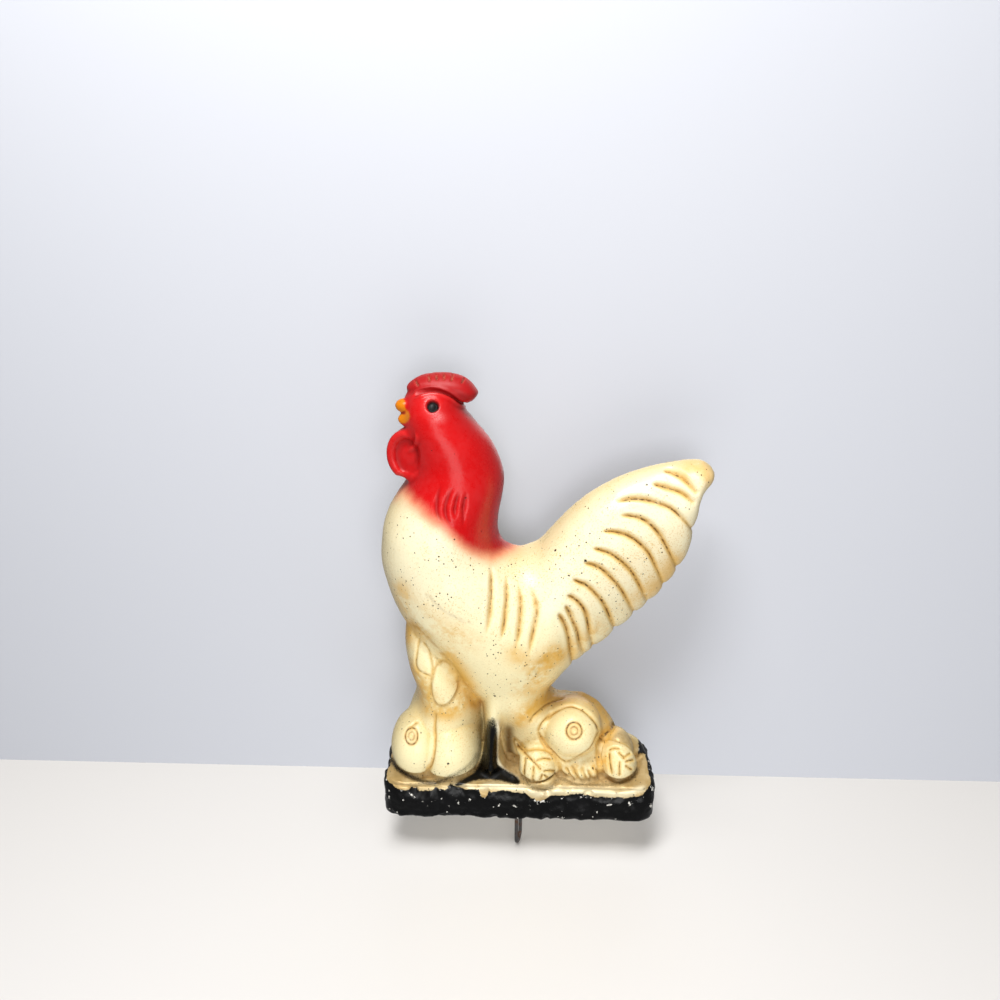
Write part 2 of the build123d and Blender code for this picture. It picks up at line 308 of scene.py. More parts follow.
PLINTH_CHIPS_PX = [
    (458, 803, 2.0, 5.5), (470, 800, 2.2, 2.0), (485, 796, 1.6, 6.0), (499, 805, 2.0, 3.0),
    (515, 806, 4.5, 2.4), (541, 800, 10.0, 4.0), (562, 798, 2.2, 2.0), (582, 797, 4.0, 2.0),
    (604, 797, 2.4, 1.6), (630, 803, 3.2, 3.6), (651, 806, 3.0, 3.0), (637, 823, 5.0, 1.6),
    (539, 814, 1.6, 1.2), (582, 814, 1.6, 1.3), (597, 812, 1.3, 1.7), (585, 821, 1.2, 1.2),
    (441, 798, 1.6, 1.6), (389, 797, 2.0, 3.0), (397, 812, 2.0, 1.6), (653, 789, 2.0, 4.0),
    (612, 799, 1.8, 2.4), (403, 800, 1.8, 1.4), (427, 806, 1.6, 1.2),
]
LEFT_SHADE_PX = [
    (391, 759), (397, 767.5), (404, 772.5), (416, 779), (426, 782), (436.7, 782.5), (447.4, 778.5),
    (458, 773.5), (470.6, 764), (477, 754),
]
LEG_GAP_PX = [(480.5, 712), (482.5, 725), (483.5, 745), (480, 762)]
RIGHT_SHADE_PX = [
    (524, 779), (532, 787), (541, 790), (551, 787.5), (560, 779), (574, 784), (590, 785), (608, 785),
    (622, 782), (632, 776.5), (637, 769),
]
WHITE_EDGE_PX = [(498, 722), (497.5, 740), (497, 758), (503, 769), (517, 779)]
RECESS_PX = [(509, 730), (509, 745), (511, 758), (515, 768)]
TAIL_STAIN_PX = [(536, 676), (545, 664), (556, 655)]
LEAF_STAINS_PX = [
    [(405, 640), (410, 625), (424, 632)], [(470, 690), (452, 712), (430, 708)],
    [(520, 720), (540, 702), (560, 690)], [(575, 764), (590, 768), (604, 762)],
    [(604, 738), (609, 731), (613, 727)], [(553, 690), (590, 697), (612, 722)],
    [(408, 668), (420, 680), (428, 700)], [(448, 655), (466, 684), (474, 700)],
]
CRACKLE_PX = [(427, 595), (436, 604), (446, 612), (455, 616), (463, 621), (471, 623)]

# Ovals where the paint is most pitted: centre and half sizes.
PITTED_PX = [((430, 585), (46, 34)), ((500, 672), (48, 26)), ((600, 560), (40, 40))]

# Where the forms run softly into each other: centre and reach.
SOFT_JOINTS_PX = [
    ((548, 684), 34.0), ((515, 700), 34.0), ((490, 715), 22.0), ((430, 704), 22.0), ((412, 702), 16.0),
    ((448, 712), 18.0), ((404, 479), 9.0), ((528, 722), 20.0), ((470, 695), 16.0), ((452, 668), 14.0),
    ((430, 644), 12.0), ((410, 626), 10.0), ((404, 420), 6.0), ((410, 432), 6.0), ((577, 772), 10.0),
    ((600, 770), 10.0), ((608, 725), 14.0), ((556, 745), 10.0),
]

# How many rounds of smoothing the whole skin gets, and its soft joints.
SKIN_ROUNDS = 3
JOINT_ROUNDS = 110

# How far round a line or an outline the skin's points are measured, in pixels.
NEAR_PX = 24.0

# Where the black paint of the plinth ends: millimetres from its middle, and up from its underside.
BRIM_MM = [
    (-88, 29), (-85, 24), (-79, 21.5), (-74, 20.4), (-51, 20.4), (-46, 21.5), (-42, 23.5), (-38, 22.5),
    (-30, 22), (-25, 22), (-23.6, 17.5), (-22, 16.5), (-20.4, 17.5), (-19, 22), (-10, 21.5), (4, 21),
    (8, 17.5), (11, 15.5), (15, 15.5), (18, 17.5), (21, 19.4), (32, 19.8), (43.7, 19.8), (56, 19),
    (66, 18.2), (73, 18.2), (79.6, 20), (84, 25), (88, 31),
]

# Strokes of the mould maker's round tools. Each row: the lines, the tool's half width and depth in
# millimetres, where a negative depth lays a bead on, how much dirt the stroke holds, how high its
# lips stand and how far the ground sinks along with it, as shares of the depth, and the share of
# its length over which it tapers at both ends.
STROKES = [
    (NECK_LINES_PX, 1.3, 1.0, 0.45, 0.15, 0.5, 0.45),
    (WING_LINES_PX, 1.5, 1.3, 0.8, 0.3, 0.4, 0.3),
    (COMB_NOTCHES_PX, 0.6, 1.1, 1.0, 0.2, 0.0, 0.3),
    ([COMB_CREASE_PX], 0.9, 1.4, 0.0, 0.8, 0.0, 0.15),
    ([WATTLE_FOLD_PX], 1.1, -1.2, 0.0, 0.0, 0.0, 0.4),
    ([BODY_CREASE_PX], 2.2, 1.0, 0.4, 0.1, 0.0, 0.1),
    ([WHITE_EDGE_PX], 1.4, -1.3, 0.0, 0.0, 0.0, 0.1),
    ([RECESS_PX], 3.6, 1.6, 0.0, 0.0, 0.0, 0.3),
    ([LIP_PX], 2.4, -0.9, 0.0, 0.0, 0.0, 0.12),
    ([TROUGH_PX], 3.4, 0.8, 0.0, 0.0, 0.0, 0.12),
    ([LEAF_B_PX], 0.7, 0.6, 0.6, 0.1, 0.0, 0.12),
    ([LEAF_A_PX], 0.7, 0.7, 0.6, 0.2, 0.0, 0.12),
    ([LEAF_A_RIGHT_PX], 0.7, 0.6, 0.5, 0.2, 0.0, 0.12),
    ([BAND_ARC_PX], 0.9, 0.9, 0.8, 0.35, 0.4, 0.12),
    ([FRUIT_ARC_PX, FRUIT_LOW_LEFT_PX, FRUIT_LOW_RIGHT_PX], 0.95, 1.0, 0.75, 0.25, 0.5, 0.05),
    ([CORNER_NOTCH_PX], 1.8, 2.2, 0.9, 0.1, 0.0, 0.12),
    ([LEAF_ONE_RIB_PX], 0.9, 1.0, 1.0, 0.3, 0.0, 0.12),
    (LEAF_ONE_VEINS_PX + RIGHT_LEAF_VEINS_PX, 0.75, 0.8, 1.0, 0.25, 0.0, 0.12),
    (FAN_LINES_PX, 1.1, 1.2, 0.7, 0.5, 0.1, 0.25),
    ([BLOSSOM_TAIL_PX], 0.8, 0.7, 0.8, 0.22, 0.0, 0.12),
    ([TAIL_STAIN_PX], 3.0, 1.0, 0.0, 0.0, 0.0, 0.12),
]

# Strokes that run out over the edge of their form: the same columns without the taper.
RUN_OUT_STROKES = [
    (TAIL_LINES_PX, 1.5, 1.7, 1.0, 0.25, 0.6),
    ([FRUIT_CLEFT_PX], 1.0, 1.5, 0.7, 0.1, 0.7),
]

# Raised leaves: outline, height in millimetres, and the depth of the moat round them as its share.
RAISED_LEAVES = [(LEAF_B_PAD_PX, 1.1, 0.2), (LEAF_ONE_PX, 2.0, 0.5), (RIGHT_LEAF_PX, 1.9, 0.5)]
LEAF_EDGE = 1.3 * MM

# The lobes of the tail's edge, how far from it they reach, and the valleys between them at its lines.
LOBE_HEIGHT = 0.9 * MM
LOBE_REACH = 6.0 * MM
LOBE_VALLEY = 4.2 * MM

# How deep the wattle is hollowed inside its rim.
DISH_DEPTH = 1.3 * MM

# The rings of a blossom end: place and half width as shares of its oval, depth in millimetres, dirt.
BLOSSOM_RINGS = [(1.0, 0.13, 0.8, 1.0), (0.48, 0.14, 0.6, 0.8), (0.0, 0.20, 0.9, 0.0)]

# The plinth's waves: height and length in millimetres, the noise's seed and its layers. Then its
# knocked edges, the swell of its ends and the slope of its front's upper edge, and the slow dents
# of the bird above it.
PLINTH_WAVES = [(0.8, 26, 3, 3), (0.65, 8, 9, 3), (0.35, 4, 13, 1)]
KNOCK_DEPTH = 1.6 * MM
END_SWELL = 1.2 * MM
BEVEL_DEPTH = 2.6 * MM
BIRD_DENT = 0.22 * MM

# The eye's socket and the bead in it, and the hanger's pocket.
SOCKET_DEPTH = 2.8 * MM
BEAD_RISE = 0.6 * MM
POCKET_HALF_WIDTH = 14 * MM
POCKET_HALF_HEIGHT = 10 * MM
POCKET_CORNER = 4 * MM
POCKET_DEPTH = 9 * MM
POCKET_DRAFT = 1.6 * MM

# Where the black climbs at the plinth's two ends: the photograph's column, and the height it reaches.
LEFT_END_PX, LEFT_END_HEIGHT = 392, 33 * MM
RIGHT_END_PX, RIGHT_END_HEIGHT = 637.5, 45 * MM

# Painted shadows under the fruit and in the gap beside the leg: line, half width in millimetres, and how
# black it is at columns of the photograph.
SHADES = [
    (LEFT_SHADE_PX, 2.6, [(400, 0.66), (445, 0.561), (475, 0.396)]),
    (RIGHT_SHADE_PX, 2.4, [(0, 0.42)]),
    (LEG_GAP_PX, 2.4, [(0, 0.36)]),
]

# Ochre stains: how strong they are, and their lines. They all reach as far to both sides.
STAINS = [(1.5, [TAIL_STAIN_PX]), (1.0, LEAF_STAINS_PX), (0.7, BELLY_STAINS_PX)]
STAIN_REACH = 6.0 * MM

# What a mask of distances holds far away from its paint, in millimetres.
FAR_OUT = -9.0

# Tones that the finishes are mixed from, as 0 to 255 values.
TONES = {
    "aged_ivory": (248, 232, 172),
    # Painted shade for the sides that turn away from the front.
    "painted_side_shade": (206, 182, 124),
    "stain": (226, 172, 72),
    "wash": (226, 190, 112),
    "halo": (230, 188, 98),
    "speck": (214, 170, 84),
    "groove_dirt": (152, 100, 36),
    "groove_fleck": (74, 48, 16),
    # Painted shade for the recess beside the leg.
    "painted_recess_shade": (106, 76, 38),
    "bright_red": (204, 34, 36),
    # Painted highlight: lighter red for the ridges.
    "painted_highlight_red": (228, 84, 80),
    "comb_red": (158, 18, 22),
    "comb_notch": (88, 8, 12),
    "comb_wear": (222, 160, 120),
    "red_mist": (244, 156, 112),
    "scuff": (238, 170, 170),
    "beak_shade": (176, 60, 10),
    "pale_gold": (214, 190, 140),
    "gold_dirt": (110, 86, 50),
    # Painted highlight along the ledge's lip.
    "painted_lip_highlight": (244, 230, 190),
    # Painted highlight for the raised edge beside the leg.
    "painted_edge_highlight": (244, 236, 210),
    "worn_black": (18, 17, 19),
    "pinhole": (26, 19, 12),
    "crackle": (150, 130, 100),
    "eye_black": (6, 6, 7),
    "old_plaster": (203, 190, 164),
    "plaster_pit": (128, 112, 88),
    "hand_marks": (150, 140, 124),
    "bare_steel": (120, 118, 116),
    "rust": (98, 66, 44),
    "floor": (228, 225, 222),
    "backdrop": (205, 207, 214),
}
CRIMSON_SHARES = (0.62, 0.6, 0.75)

# The soft lamps: place, aim, size in metres and power in watts.
LAMPS = {
    "key": ((-0.16, -0.42, 0.92), (0.02, 0.0, -0.04), 0.36, 8.6),
    "top": ((0.02, -0.12, 0.92), (0.02, -0.02, -0.04), 0.30, 2.6),
    "front": ((0.12, -1.0, 0.16), (0.02, 0.0, -0.04), 0.60, 3.6),
    "bounce": ((0.04, -0.42, -0.56), (0.02, 0.0, 0.0), 0.80, 2.6),
    "behind": ((0.1, 0.9, 0.2), (0.02, 0.0, -0.04), 0.80, 2.0),
}
ROOM_LIGHT = 0.29
STAGE_REACH = 1.6


def paint_colour(red, green, blue):
    """A colour picked as 0 to 255 values, as the linear values that shaders use."""
    return tuple((part / FULL_PAINT) ** 2.2 for part in (red, green, blue))


def tone(name):
    """One of the named tones, as a shader uses it."""
    return paint_colour(*TONES[name])


class RoosterSizes(bpy.types.PropertyGroup):
    """Sizes of the casting and of the tools that carve it."""

    figure_height: bpy.props.FloatProperty(
        name="Figure height", description="From the underside of the plinth to the top of the comb",
        default=cast_high.z - cast_low.z, unit="LENGTH")
    relief_depth: bpy.props.FloatProperty(
        name="Relief depth", description="From the flat back to the frontmost point",
        default=cast_high.y - cast_low.y, unit="LENGTH")
    base_width: bpy.props.FloatProperty(
        name="Plinth width", description="Width of the plinth", default=172 * MM, unit="LENGTH")
    base_height: bpy.props.FloatProperty(
        name="Plinth height", description="Height of the plinth", default=25 * MM, unit="LENGTH")
    corner_radius: bpy.props.FloatProperty(
        name="Corner radius", description="Radius of the plinth's front corners",
        default=11 * MM, unit="LENGTH")
    edge_radius: bpy.props.FloatProperty(
        name="Edge radius", description="Radius of the plinth's worn edges", default=4 * MM, unit="LENGTH")
    skin_grain: bpy.props.FloatProperty(
        name="Skin grain", description="Size of one face of the finished skin",
        default=0.80 * MM, unit="LENGTH")
    most_triangles: bpy.props.IntProperty(
        name="Most triangles", description="Number of triangles that the finished skin stays below",
        default=196000)
    eye_radius: bpy.props.FloatProperty(
        name="Eye radius", description="Radius of the sunk eye", default=3.7 * MM, unit="LENGTH")


class RoosterPaints(bpy.types.PropertyGroup):
    """Colours of the paints and of the plaster below them."""

    ivory: bpy.props.FloatVectorProperty(
        name="Ivory", description="Paint of the body, fruit and leaves", subtype="COLOR",
        default=paint_colour(248, 237, 199))
    ochre: bpy.props.FloatVectorProperty(
        name="Ochre", description="Aged varnish and dirt in the hollows", subtype="COLOR",
        default=paint_colour(214, 160, 82))
    red: bpy.props.FloatVectorProperty(
        name="Red", description="Airbrushed paint of the head and neck", subtype="COLOR",
        default=paint_colour(200, 8, 14))
    orange: bpy.props.FloatVectorProperty(
        name="Orange", description="Paint of the beak", subtype="COLOR",
        default=paint_colour(214, 122, 14))
    black: bpy.props.FloatVectorProperty(
        name="Black", description="Paint of the plinth, the eye and the leg", subtype="COLOR",
        default=paint_colour(7, 7, 8))
    gold: bpy.props.FloatVectorProperty(
        name="Gold", description="Worn gold paint of the ledge", subtype="COLOR",
        default=paint_colour(186, 156, 102))
    plaster: bpy.props.FloatVectorProperty(
        name="Plaster", description="Bare plaster in the chips and on the back", subtype="COLOR",
        default=paint_colour(236, 232, 222))


class RoosterStage(bpy.types.PropertyGroup):
    """The camera and the plain stage, measured from the hanger."""

    camera_place: bpy.props.FloatVectorProperty(
        name="Camera place", description="Where the photograph was taken from",
        default=(11.1 * MM, -471.1 * MM, 202.9 * MM), subtype="TRANSLATION")
    camera_tilt: bpy.props.FloatProperty(
        name="Camera tilt", description="Angle of the camera below the horizon",
        default=math.radians(18.8), subtype="ANGLE")
    camera_turn: bpy.props.FloatProperty(
        name="Camera turn", description="Angle of the camera towards the left",
        default=math.radians(2.0), subtype="ANGLE")
    focal_px: bpy.props.FloatProperty(
        name="Focal length in pixels", description="Distance of the picture plane, in its own pixels",
        default=807.0)
    wall_gap: bpy.props.FloatProperty(
        name="Wall gap", description="From the flat back to the backdrop", default=37 * MM, unit="LENGTH")


# Numbers and curves


def smooth_through(rows, steps):
    """Rows joined by Catmull-Rom curves: every column runs smoothly through all its values."""
    rows = np.asarray(rows, float)
    padded = np.vstack([2 * rows[0] - rows[1], rows, 2 * rows[-1] - rows[-2]])
    first, second, third, fourth = (padded[i:len(padded) - 3 + i, None, :] for i in range(4))
    t = (np.arange(steps) / steps)[None, :, None]
    curve = 0.5 * (
        2 * second + (third - first) * t
        + (2 * first - 5 * second + 4 * third - fourth) * t**2
        + (3 * second - first - 3 * third + fourth) * t**3
    )
    return np.vstack([curve.reshape(-1, rows.shape[1]), rows[-1:]])


def smooth_round(rows, steps):
    """A closed outline through the rows, by the same curves with the ends joined."""
    rows = np.asarray(rows, float)
    ring = np.vstack([rows[-2:], rows, rows[:2]])
    curve = smooth_through(ring, steps)
    return curve[2 * steps:-2 * steps]


def ease(low, high, values):
    """0 below low, 1 above high, and a smooth step between them."""
    t = np.clip((values - low) / (high - low), 0, 1)
    return t * t * (3 - 2 * t)


def bell(values, half_width):
    """1 at 0, falling off to both sides as a bell of the half width."""
    return np.exp(-(values / half_width) ** 2)


def lattice(cells, seed):
    """A fixed number from 0 to 1 for each whole-number cell, mixed from its three counts."""
    mixed = cells[:, 0] * 374761393 + cells[:, 1] * 668265263 + cells[:, 2] * 2147483647
    mixed = mixed + seed * 1274126177
    mixed = (mixed ^ (mixed >> 13)) * 1274126177
    mixed = mixed ^ (mixed >> 16)
    return (mixed & 0xFFFFFF) / 0xFFFFFF


def soft_noise(points, size, seed=0):
    """Smooth noise from -1 to 1: lattice numbers blended between the eight corners of each cell."""
    scaled = points / size
    cell = np.floor(scaled).astype(np.int64)
    part = scaled - cell
    part = part * part * (3 - 2 * part)
    total = np.zeros(len(points))
    for corner in np.ndindex(2, 2, 2):
        share = np.prod(np.where(corner, part, 1 - part), axis=1)
        total += share * lattice(cell + np.array(corner), seed)
    return total * 2 - 1


def rough_noise(points, size, seed=0, layers=3):
    """Soft noise with finer and weaker noise added, layer by layer."""
    return sum(soft_noise(points, size / 2**k, seed + k) / 2**k for k in range(layers))


# Forms


def place_of(sizes, across, up, out):
    """A place from its distances: across from the middle, up from the plinth's top, out from the back."""
    return np.array((MIDDLE_X + across, BACK_Y - out, UNDERSIDE_Z + sizes.base_height + up))


def ring_form(rows, sizes, steps=8, sides=64):
    """A skin round ellipses whose ends lie on the outline: middle + half width * cos, depth * sin.
    The half behind the flat back is pressed onto it. Returns the points as rings by sides."""
    bird = sizes.figure_height - sizes.base_height
    rows = smooth_through(rows, steps)
    ends = rows[:, :4] * bird
    first, last = ends[:, None, :2], ends[:, None, 2:]
    turn = np.linspace(0, 2 * np.pi, sides, endpoint=False)[None, :, None]
    place = (first + last) / 2 + (first - last) / 2 * np.cos(turn)
    out = rows[:, 4:5] * sizes.relief_depth * np.sin(turn[:, :, 0])
    x = MIDDLE_X + place[:, :, 0]
    z = UNDERSIDE_Z + sizes.base_height + place[:, :, 1]
    y = BACK_Y - np.maximum(out, 0)
    return np.stack([x, y, np.maximum(z, UNDERSIDE_Z)], axis=2)


def egg_form(centre, halves, rings=36, sides=56):
    """An ellipsoid: circles of latitude scaled to three half sizes, pressed flat at the back."""
    rise = np.linspace(-np.pi / 2, np.pi / 2, rings)[1:-1, None]
    turn = np.linspace(0, 2 * np.pi, sides, endpoint=False)[None, :]
    x = centre[0] + halves[0] * np.cos(rise) * np.cos(turn)
    y = centre[1] + halves[1] * np.cos(rise) * np.sin(turn)
    z = centre[2] + halves[2] * np.sin(rise) + 0 * turn
    return np.stack([x, np.minimum(y, BACK_Y), np.maximum(z, UNDERSIDE_Z)], axis=2)


def plinth_form(sizes, arc=10, edge_steps=6):
    """A rounded rectangle carried up a profile: each ring is the outline drawn in by the profile's
    inset at the front and the sides, and the profile is a quarter round, a wall and a quarter round."""
    turn = np.linspace(0, np.pi / 2, edge_steps)
    inset = sizes.edge_radius * (1 - np.sin(turn))
    rise = sizes.edge_radius * (1 - np.cos(turn))
    inset = np.concatenate([inset, inset[::-1]])
    rise = np.concatenate([rise, sizes.base_height - rise[::-1]])
    bend = np.linspace(0, np.pi / 2, arc)
    rings = []
    for drawn_in, up in zip(inset, rise):
        half = sizes.base_width / 2 - drawn_in
        front = sizes.relief_depth - drawn_in
        radius = sizes.corner_radius - drawn_in
        right = np.array((half, front)) - radius + radius * np.stack([np.sin(bend), np.cos(bend)], axis=1)
        left = right[::-1] * (-1, 1)
        back = np.array([(half, 0.0), (-half, 0.0)])
        outline = np.vstack([left, right, back])
        rings.append(np.column_stack([outline, np.full(len(outline), up)]))
    points = np.array(rings) * (1, -1, 1)
    return points + (MIDDLE_X, BACK_Y, UNDERSIDE_Z)


def tube_form(path, radius, sides=20):
    """A round bar closed on itself: circles whose radii are given, set on a closed path that lies in
    a plane y = const."""
    ahead = np.roll(path, -1, axis=0) - np.roll(path, 1, axis=0)
    ahead /= np.linalg.norm(ahead, axis=1, keepdims=True)
    side = np.cross(ahead, (0, 1, 0))
    turn = np.linspace(0, 2 * np.pi, sides, endpoint=False)[None, :, None]
    radius = radius[:, None, None]
    circle = np.cos(turn) * side[:, None, :] + np.sin(turn) * np.array((0, 1, 0))
    return path[:, None, :] + radius * circle


class Forms:
    """Grids of points gathered into one mesh of closed shells."""

    def __init__(self):
        self.points, self.faces, self.count = [], [], 0

    def add(self, grid, closed_path=False):
        """Faces between neighbouring rings, and a fan at each end, or the last ring joined to the
        first where the path is closed."""
        rings, sides = grid.shape[:2]
        number = np.arange(rings * sides).reshape(rings, sides) + self.count
        beside = np.roll(number, -1, axis=1)
        if closed_path:
            above, above_beside = np.roll(number, -1, axis=0), np.roll(beside, -1, axis=0)
            quads = np.stack([number, beside, above_beside, above], axis=2)
        else:
            quads = np.stack([number[:-1], beside[:-1], beside[1:], number[1:]], axis=2)
        self.faces += quads.reshape(-1, 4).tolist()
        self.points.append(grid.reshape(-1, 3))
        self.count += rings * sides
        if not closed_path:
            for ring, other in ((number[0], beside[0]), (number[-1], beside[-1])):
                self.faces += np.stack([ring, other, np.full(sides, self.count)], axis=1).tolist()
                self.points.append(grid[0 if ring[0] == number[0, 0] else -1].mean(axis=0)[None])
                self.count += 1

    def mesh(self, name):
        """One mesh of all the shells, with the faces of each shell turned outwards."""
        made = bpy.data.meshes.new(name)
        made.from_pydata(np.vstack(self.points).tolist(), [], self.faces)
        work = bmesh.new()
        work.from_mesh(made)
        bmesh.ops.recalc_face_normals(work, faces=work.faces)
        work.to_mesh(made)
        work.free()
        return made


def wattle_forms(sizes, forms):
    """A thin oval pad, a rolled rim round it, and a stem that ties both to the flat back."""
    bird = sizes.figure_height - sizes.base_height
    across, up, out = WATTLE_SHARES * np.array((bird, bird, sizes.relief_depth))
    half_width, half_height, rim = WATTLE_HALF_WIDTH, WATTLE_HALF_HEIGHT, WATTLE_RIM
    pad_halves = (half_width - WATTLE_PAD_INSET, WATTLE_PAD_HALF, half_height - WATTLE_PAD_INSET)
    pad = egg_form((0, WATTLE_PAD_SHIFT, 0), pad_halves)
    angle = np.linspace(0, 2 * np.pi, 72, endpoint=False)
    reach = (half_width - rim, 0, half_height - rim)
    path = np.stack([np.cos(angle), 0 * angle, np.sin(angle)], axis=1) * reach
    ring = tube_form(path, rim * (1 - 0.15 * np.cos(angle)))
    side, ahead = math.cos(WATTLE_TURN), math.sin(WATTLE_TURN)
    facing = np.array([[side, -ahead, 0], [ahead, side, 0], [0, 0, 1]])
    centre = place_of(sizes, across, up, out)
    forms.add(pad @ facing.T + centre)
    forms.add(ring @ facing.T + centre, closed_path=True)
    stem = (half_width - rim / 2, out, half_height - rim / 2)
    forms.add(egg_form(place_of(sizes, across, up, 0), stem))


def all_forms(sizes):
    """Every form of the casting: bird, leg, comb, beak, wattle, leaves, fruit and plinth."""
    forms = Forms()
    bird = sizes.figure_height - sizes.base_height
    width, relief = sizes.base_width, sizes.relief_depth
    for rows in (
        BODY_AND_TAIL_SHARES, LEG_SHARES, THIGH_SHARES, SHOULDER_SHARES, COMB_SHARES, LEFT_LEAVES_SHARES,
    ):
        forms.add(ring_form(rows, sizes))
    for across, up, out, half_width, half_height, half_depth in LUMP_SHARES:
        centre = place_of(sizes, across * width, up * bird, out * relief)
        forms.add(egg_form(centre, (half_width * width, half_depth * relief, half_height * bird)))
    for across, up, out in BEAK_SHARES:
        forms.add(egg_form(place_of(sizes, across * bird, up * bird, out * relief), BEAK_HALVES))
    wattle_forms(sizes, forms)
    forms.add(plinth_form(sizes))
    return forms.mesh("forms")


# The skin and its tools


class Skin:
    """The points of the casting's skin, with the tools that move them."""

    def __init__(self, mesh, stage, grain):
        self.mesh, self.grain = mesh, grain
        self.points = self.read(mesh.vertices, "co", 3)
        self.edges = self.read(mesh.edges, "vertices", 2, np.int64)
        self.degree = np.bincount(self.edges.ravel(), minlength=len(self.points))
        self.on_back = self.points[:, 1] > BACK_Y - 0.6 * grain
        self.stage = stage
        self.look()
        self.on_back |= (self.normals[:, 1] > 0.8) & (self.points[:, 1] > BACK_Y - 2 * grain)

    @staticmethod
    def read(items, name, width, kind=float):
        """One property of all vertices or edges as rows of an array."""
        values = np.zeros(len(items) * width, np.int32 if kind is np.int64 else np.float32)
        items.foreach_get(name, values)
        return values.astype(kind).reshape(-1, width)

    def spread(self, values):
        """The mean of each value's neighbours along the mesh's edges."""
        first, second = self.edges[:, 0], self.edges[:, 1]
        size = len(self.points)
        if values.ndim == 1:
            total = np.bincount(first, values[second], size) + np.bincount(second, values[first], size)
            return total / self.degree
        return np.stack([self.spread(values[:, k]) for k in range(values.shape[1])], axis=1)

    def relax(self, rounds, weight=1.0, share=0.5):
        """Moves the points towards the mean of their neighbours, round by round."""
        weight = np.broadcast_to(weight, (len(self.points),))[:, None]
        for _ in range(rounds):
            self.points += share * weight * (self.spread(self.points) - self.points)
        self.keep_planes()

    def keep_planes(self):
        """Holds the flat back in its plane and the rest in front of it."""
        self.points[self.on_back, 1] = BACK_Y
        self.points[:, 1] = np.minimum(self.points[:, 1], BACK_Y)

    def look(self):
        """Works out the normals and the pixel that each point has in the photograph."""
        self.mesh.vertices.foreach_set("co", self.points.astype(np.float32).ravel())
        self.mesh.update()
        self.normals = self.read(self.mesh.vertex_normals, "vector", 3)
        turn = Euler((math.pi / 2 - self.stage.camera_tilt, 0, self.stage.camera_turn)).to_matrix()
        seen = (self.points - np.array(self.stage.camera_place)) @ np.array(turn)
        self.scale = self.stage.focal_px / -seen[:, 2]
        self.pixels = PHOTO_MIDDLE + seen[:, :2] * (1, -1) * self.scale[:, None]
        self.facing = ease(0.55, 0.15, self.normals[:, 1]) * ~self.on_back

    def push(self, amount):
        """Moves the points out along their normals by an amount in metres."""
        self.points += self.normals * (amount * self.facing)[:, None]
        self.keep_planes()

    def near(self, line):
        """The points whose pixels lie round a line."""
        above = (self.pixels > line.min(axis=0) - NEAR_PX).all(axis=1)
        below = (self.pixels < line.max(axis=0) + NEAR_PX).all(axis=1)
        return np.flatnonzero(above & below)

    def line(self, line_px, steps=6):
        """Distance in metres of each point from a line seen in the photograph, and its place along it."""
        line = smooth_through(line_px, steps)
        near = self.near(line)
        start, span = line[:-1], np.diff(line, axis=0)
        offset = self.pixels[near, None, :] - start[None]
        part = np.clip((offset * span).sum(axis=2) / (span**2).sum(axis=1), 0, 1)
        away = np.linalg.norm(offset - part[:, :, None] * span, axis=2)
        nearest = away.argmin(axis=1)
        rows = np.arange(len(near))
        distance = np.full(len(self.points), 1.0)
        distance[near] = away[rows, nearest] / self.scale[near]
        along = np.zeros(len(self.points))
        along[near] = (nearest + part[rows, nearest]) / len(span)
        return distance, along

    def band(self, line_px, half_width):
        """1 on a line seen in the photograph, falling off to both sides as a bell."""
        return bell(self.line(line_px)[0], half_width)

    def outline(self, outline_px, steps=5):
        """Distance in metres inside a closed outline seen in the photograph, negative outside it."""
        ring = smooth_round(outline_px, steps)
        near = self.near(ring)
        start, end = ring, np.roll(ring, -1, axis=0)
        place = self.pixels[near, None, :]
        span = end - start
        part = np.clip(((place - start) * span).sum(axis=2) / (span**2).sum(axis=1), 0, 1)
        away = np.linalg.norm(place - start - part[:, :, None] * span, axis=2).min(axis=1)
        rises = (start[None, :, 1] > place[:, :, 1]) != (end[None, :, 1] > place[:, :, 1])
        rise = np.where(span[:, 1] == 0, 1, span[:, 1])
        crossing = start[:, 0] + (place[:, :, 1] - start[:, 1]) * span[:, 0] / rise
        inside = ((place[:, :, 0] < crossing) & rises).sum(axis=1) % 2 == 1
        distance = np.full(len(self.points), -1.0)
        distance[near] = np.where(inside, away, -away) / self.scale[near]
        return distance

    def oval(self, centre_px, halves_px):
        """How far each point is from an oval's centre, 1 on the oval."""
        return np.linalg.norm((self.pixels - centre_px) / halves_px, axis=1)


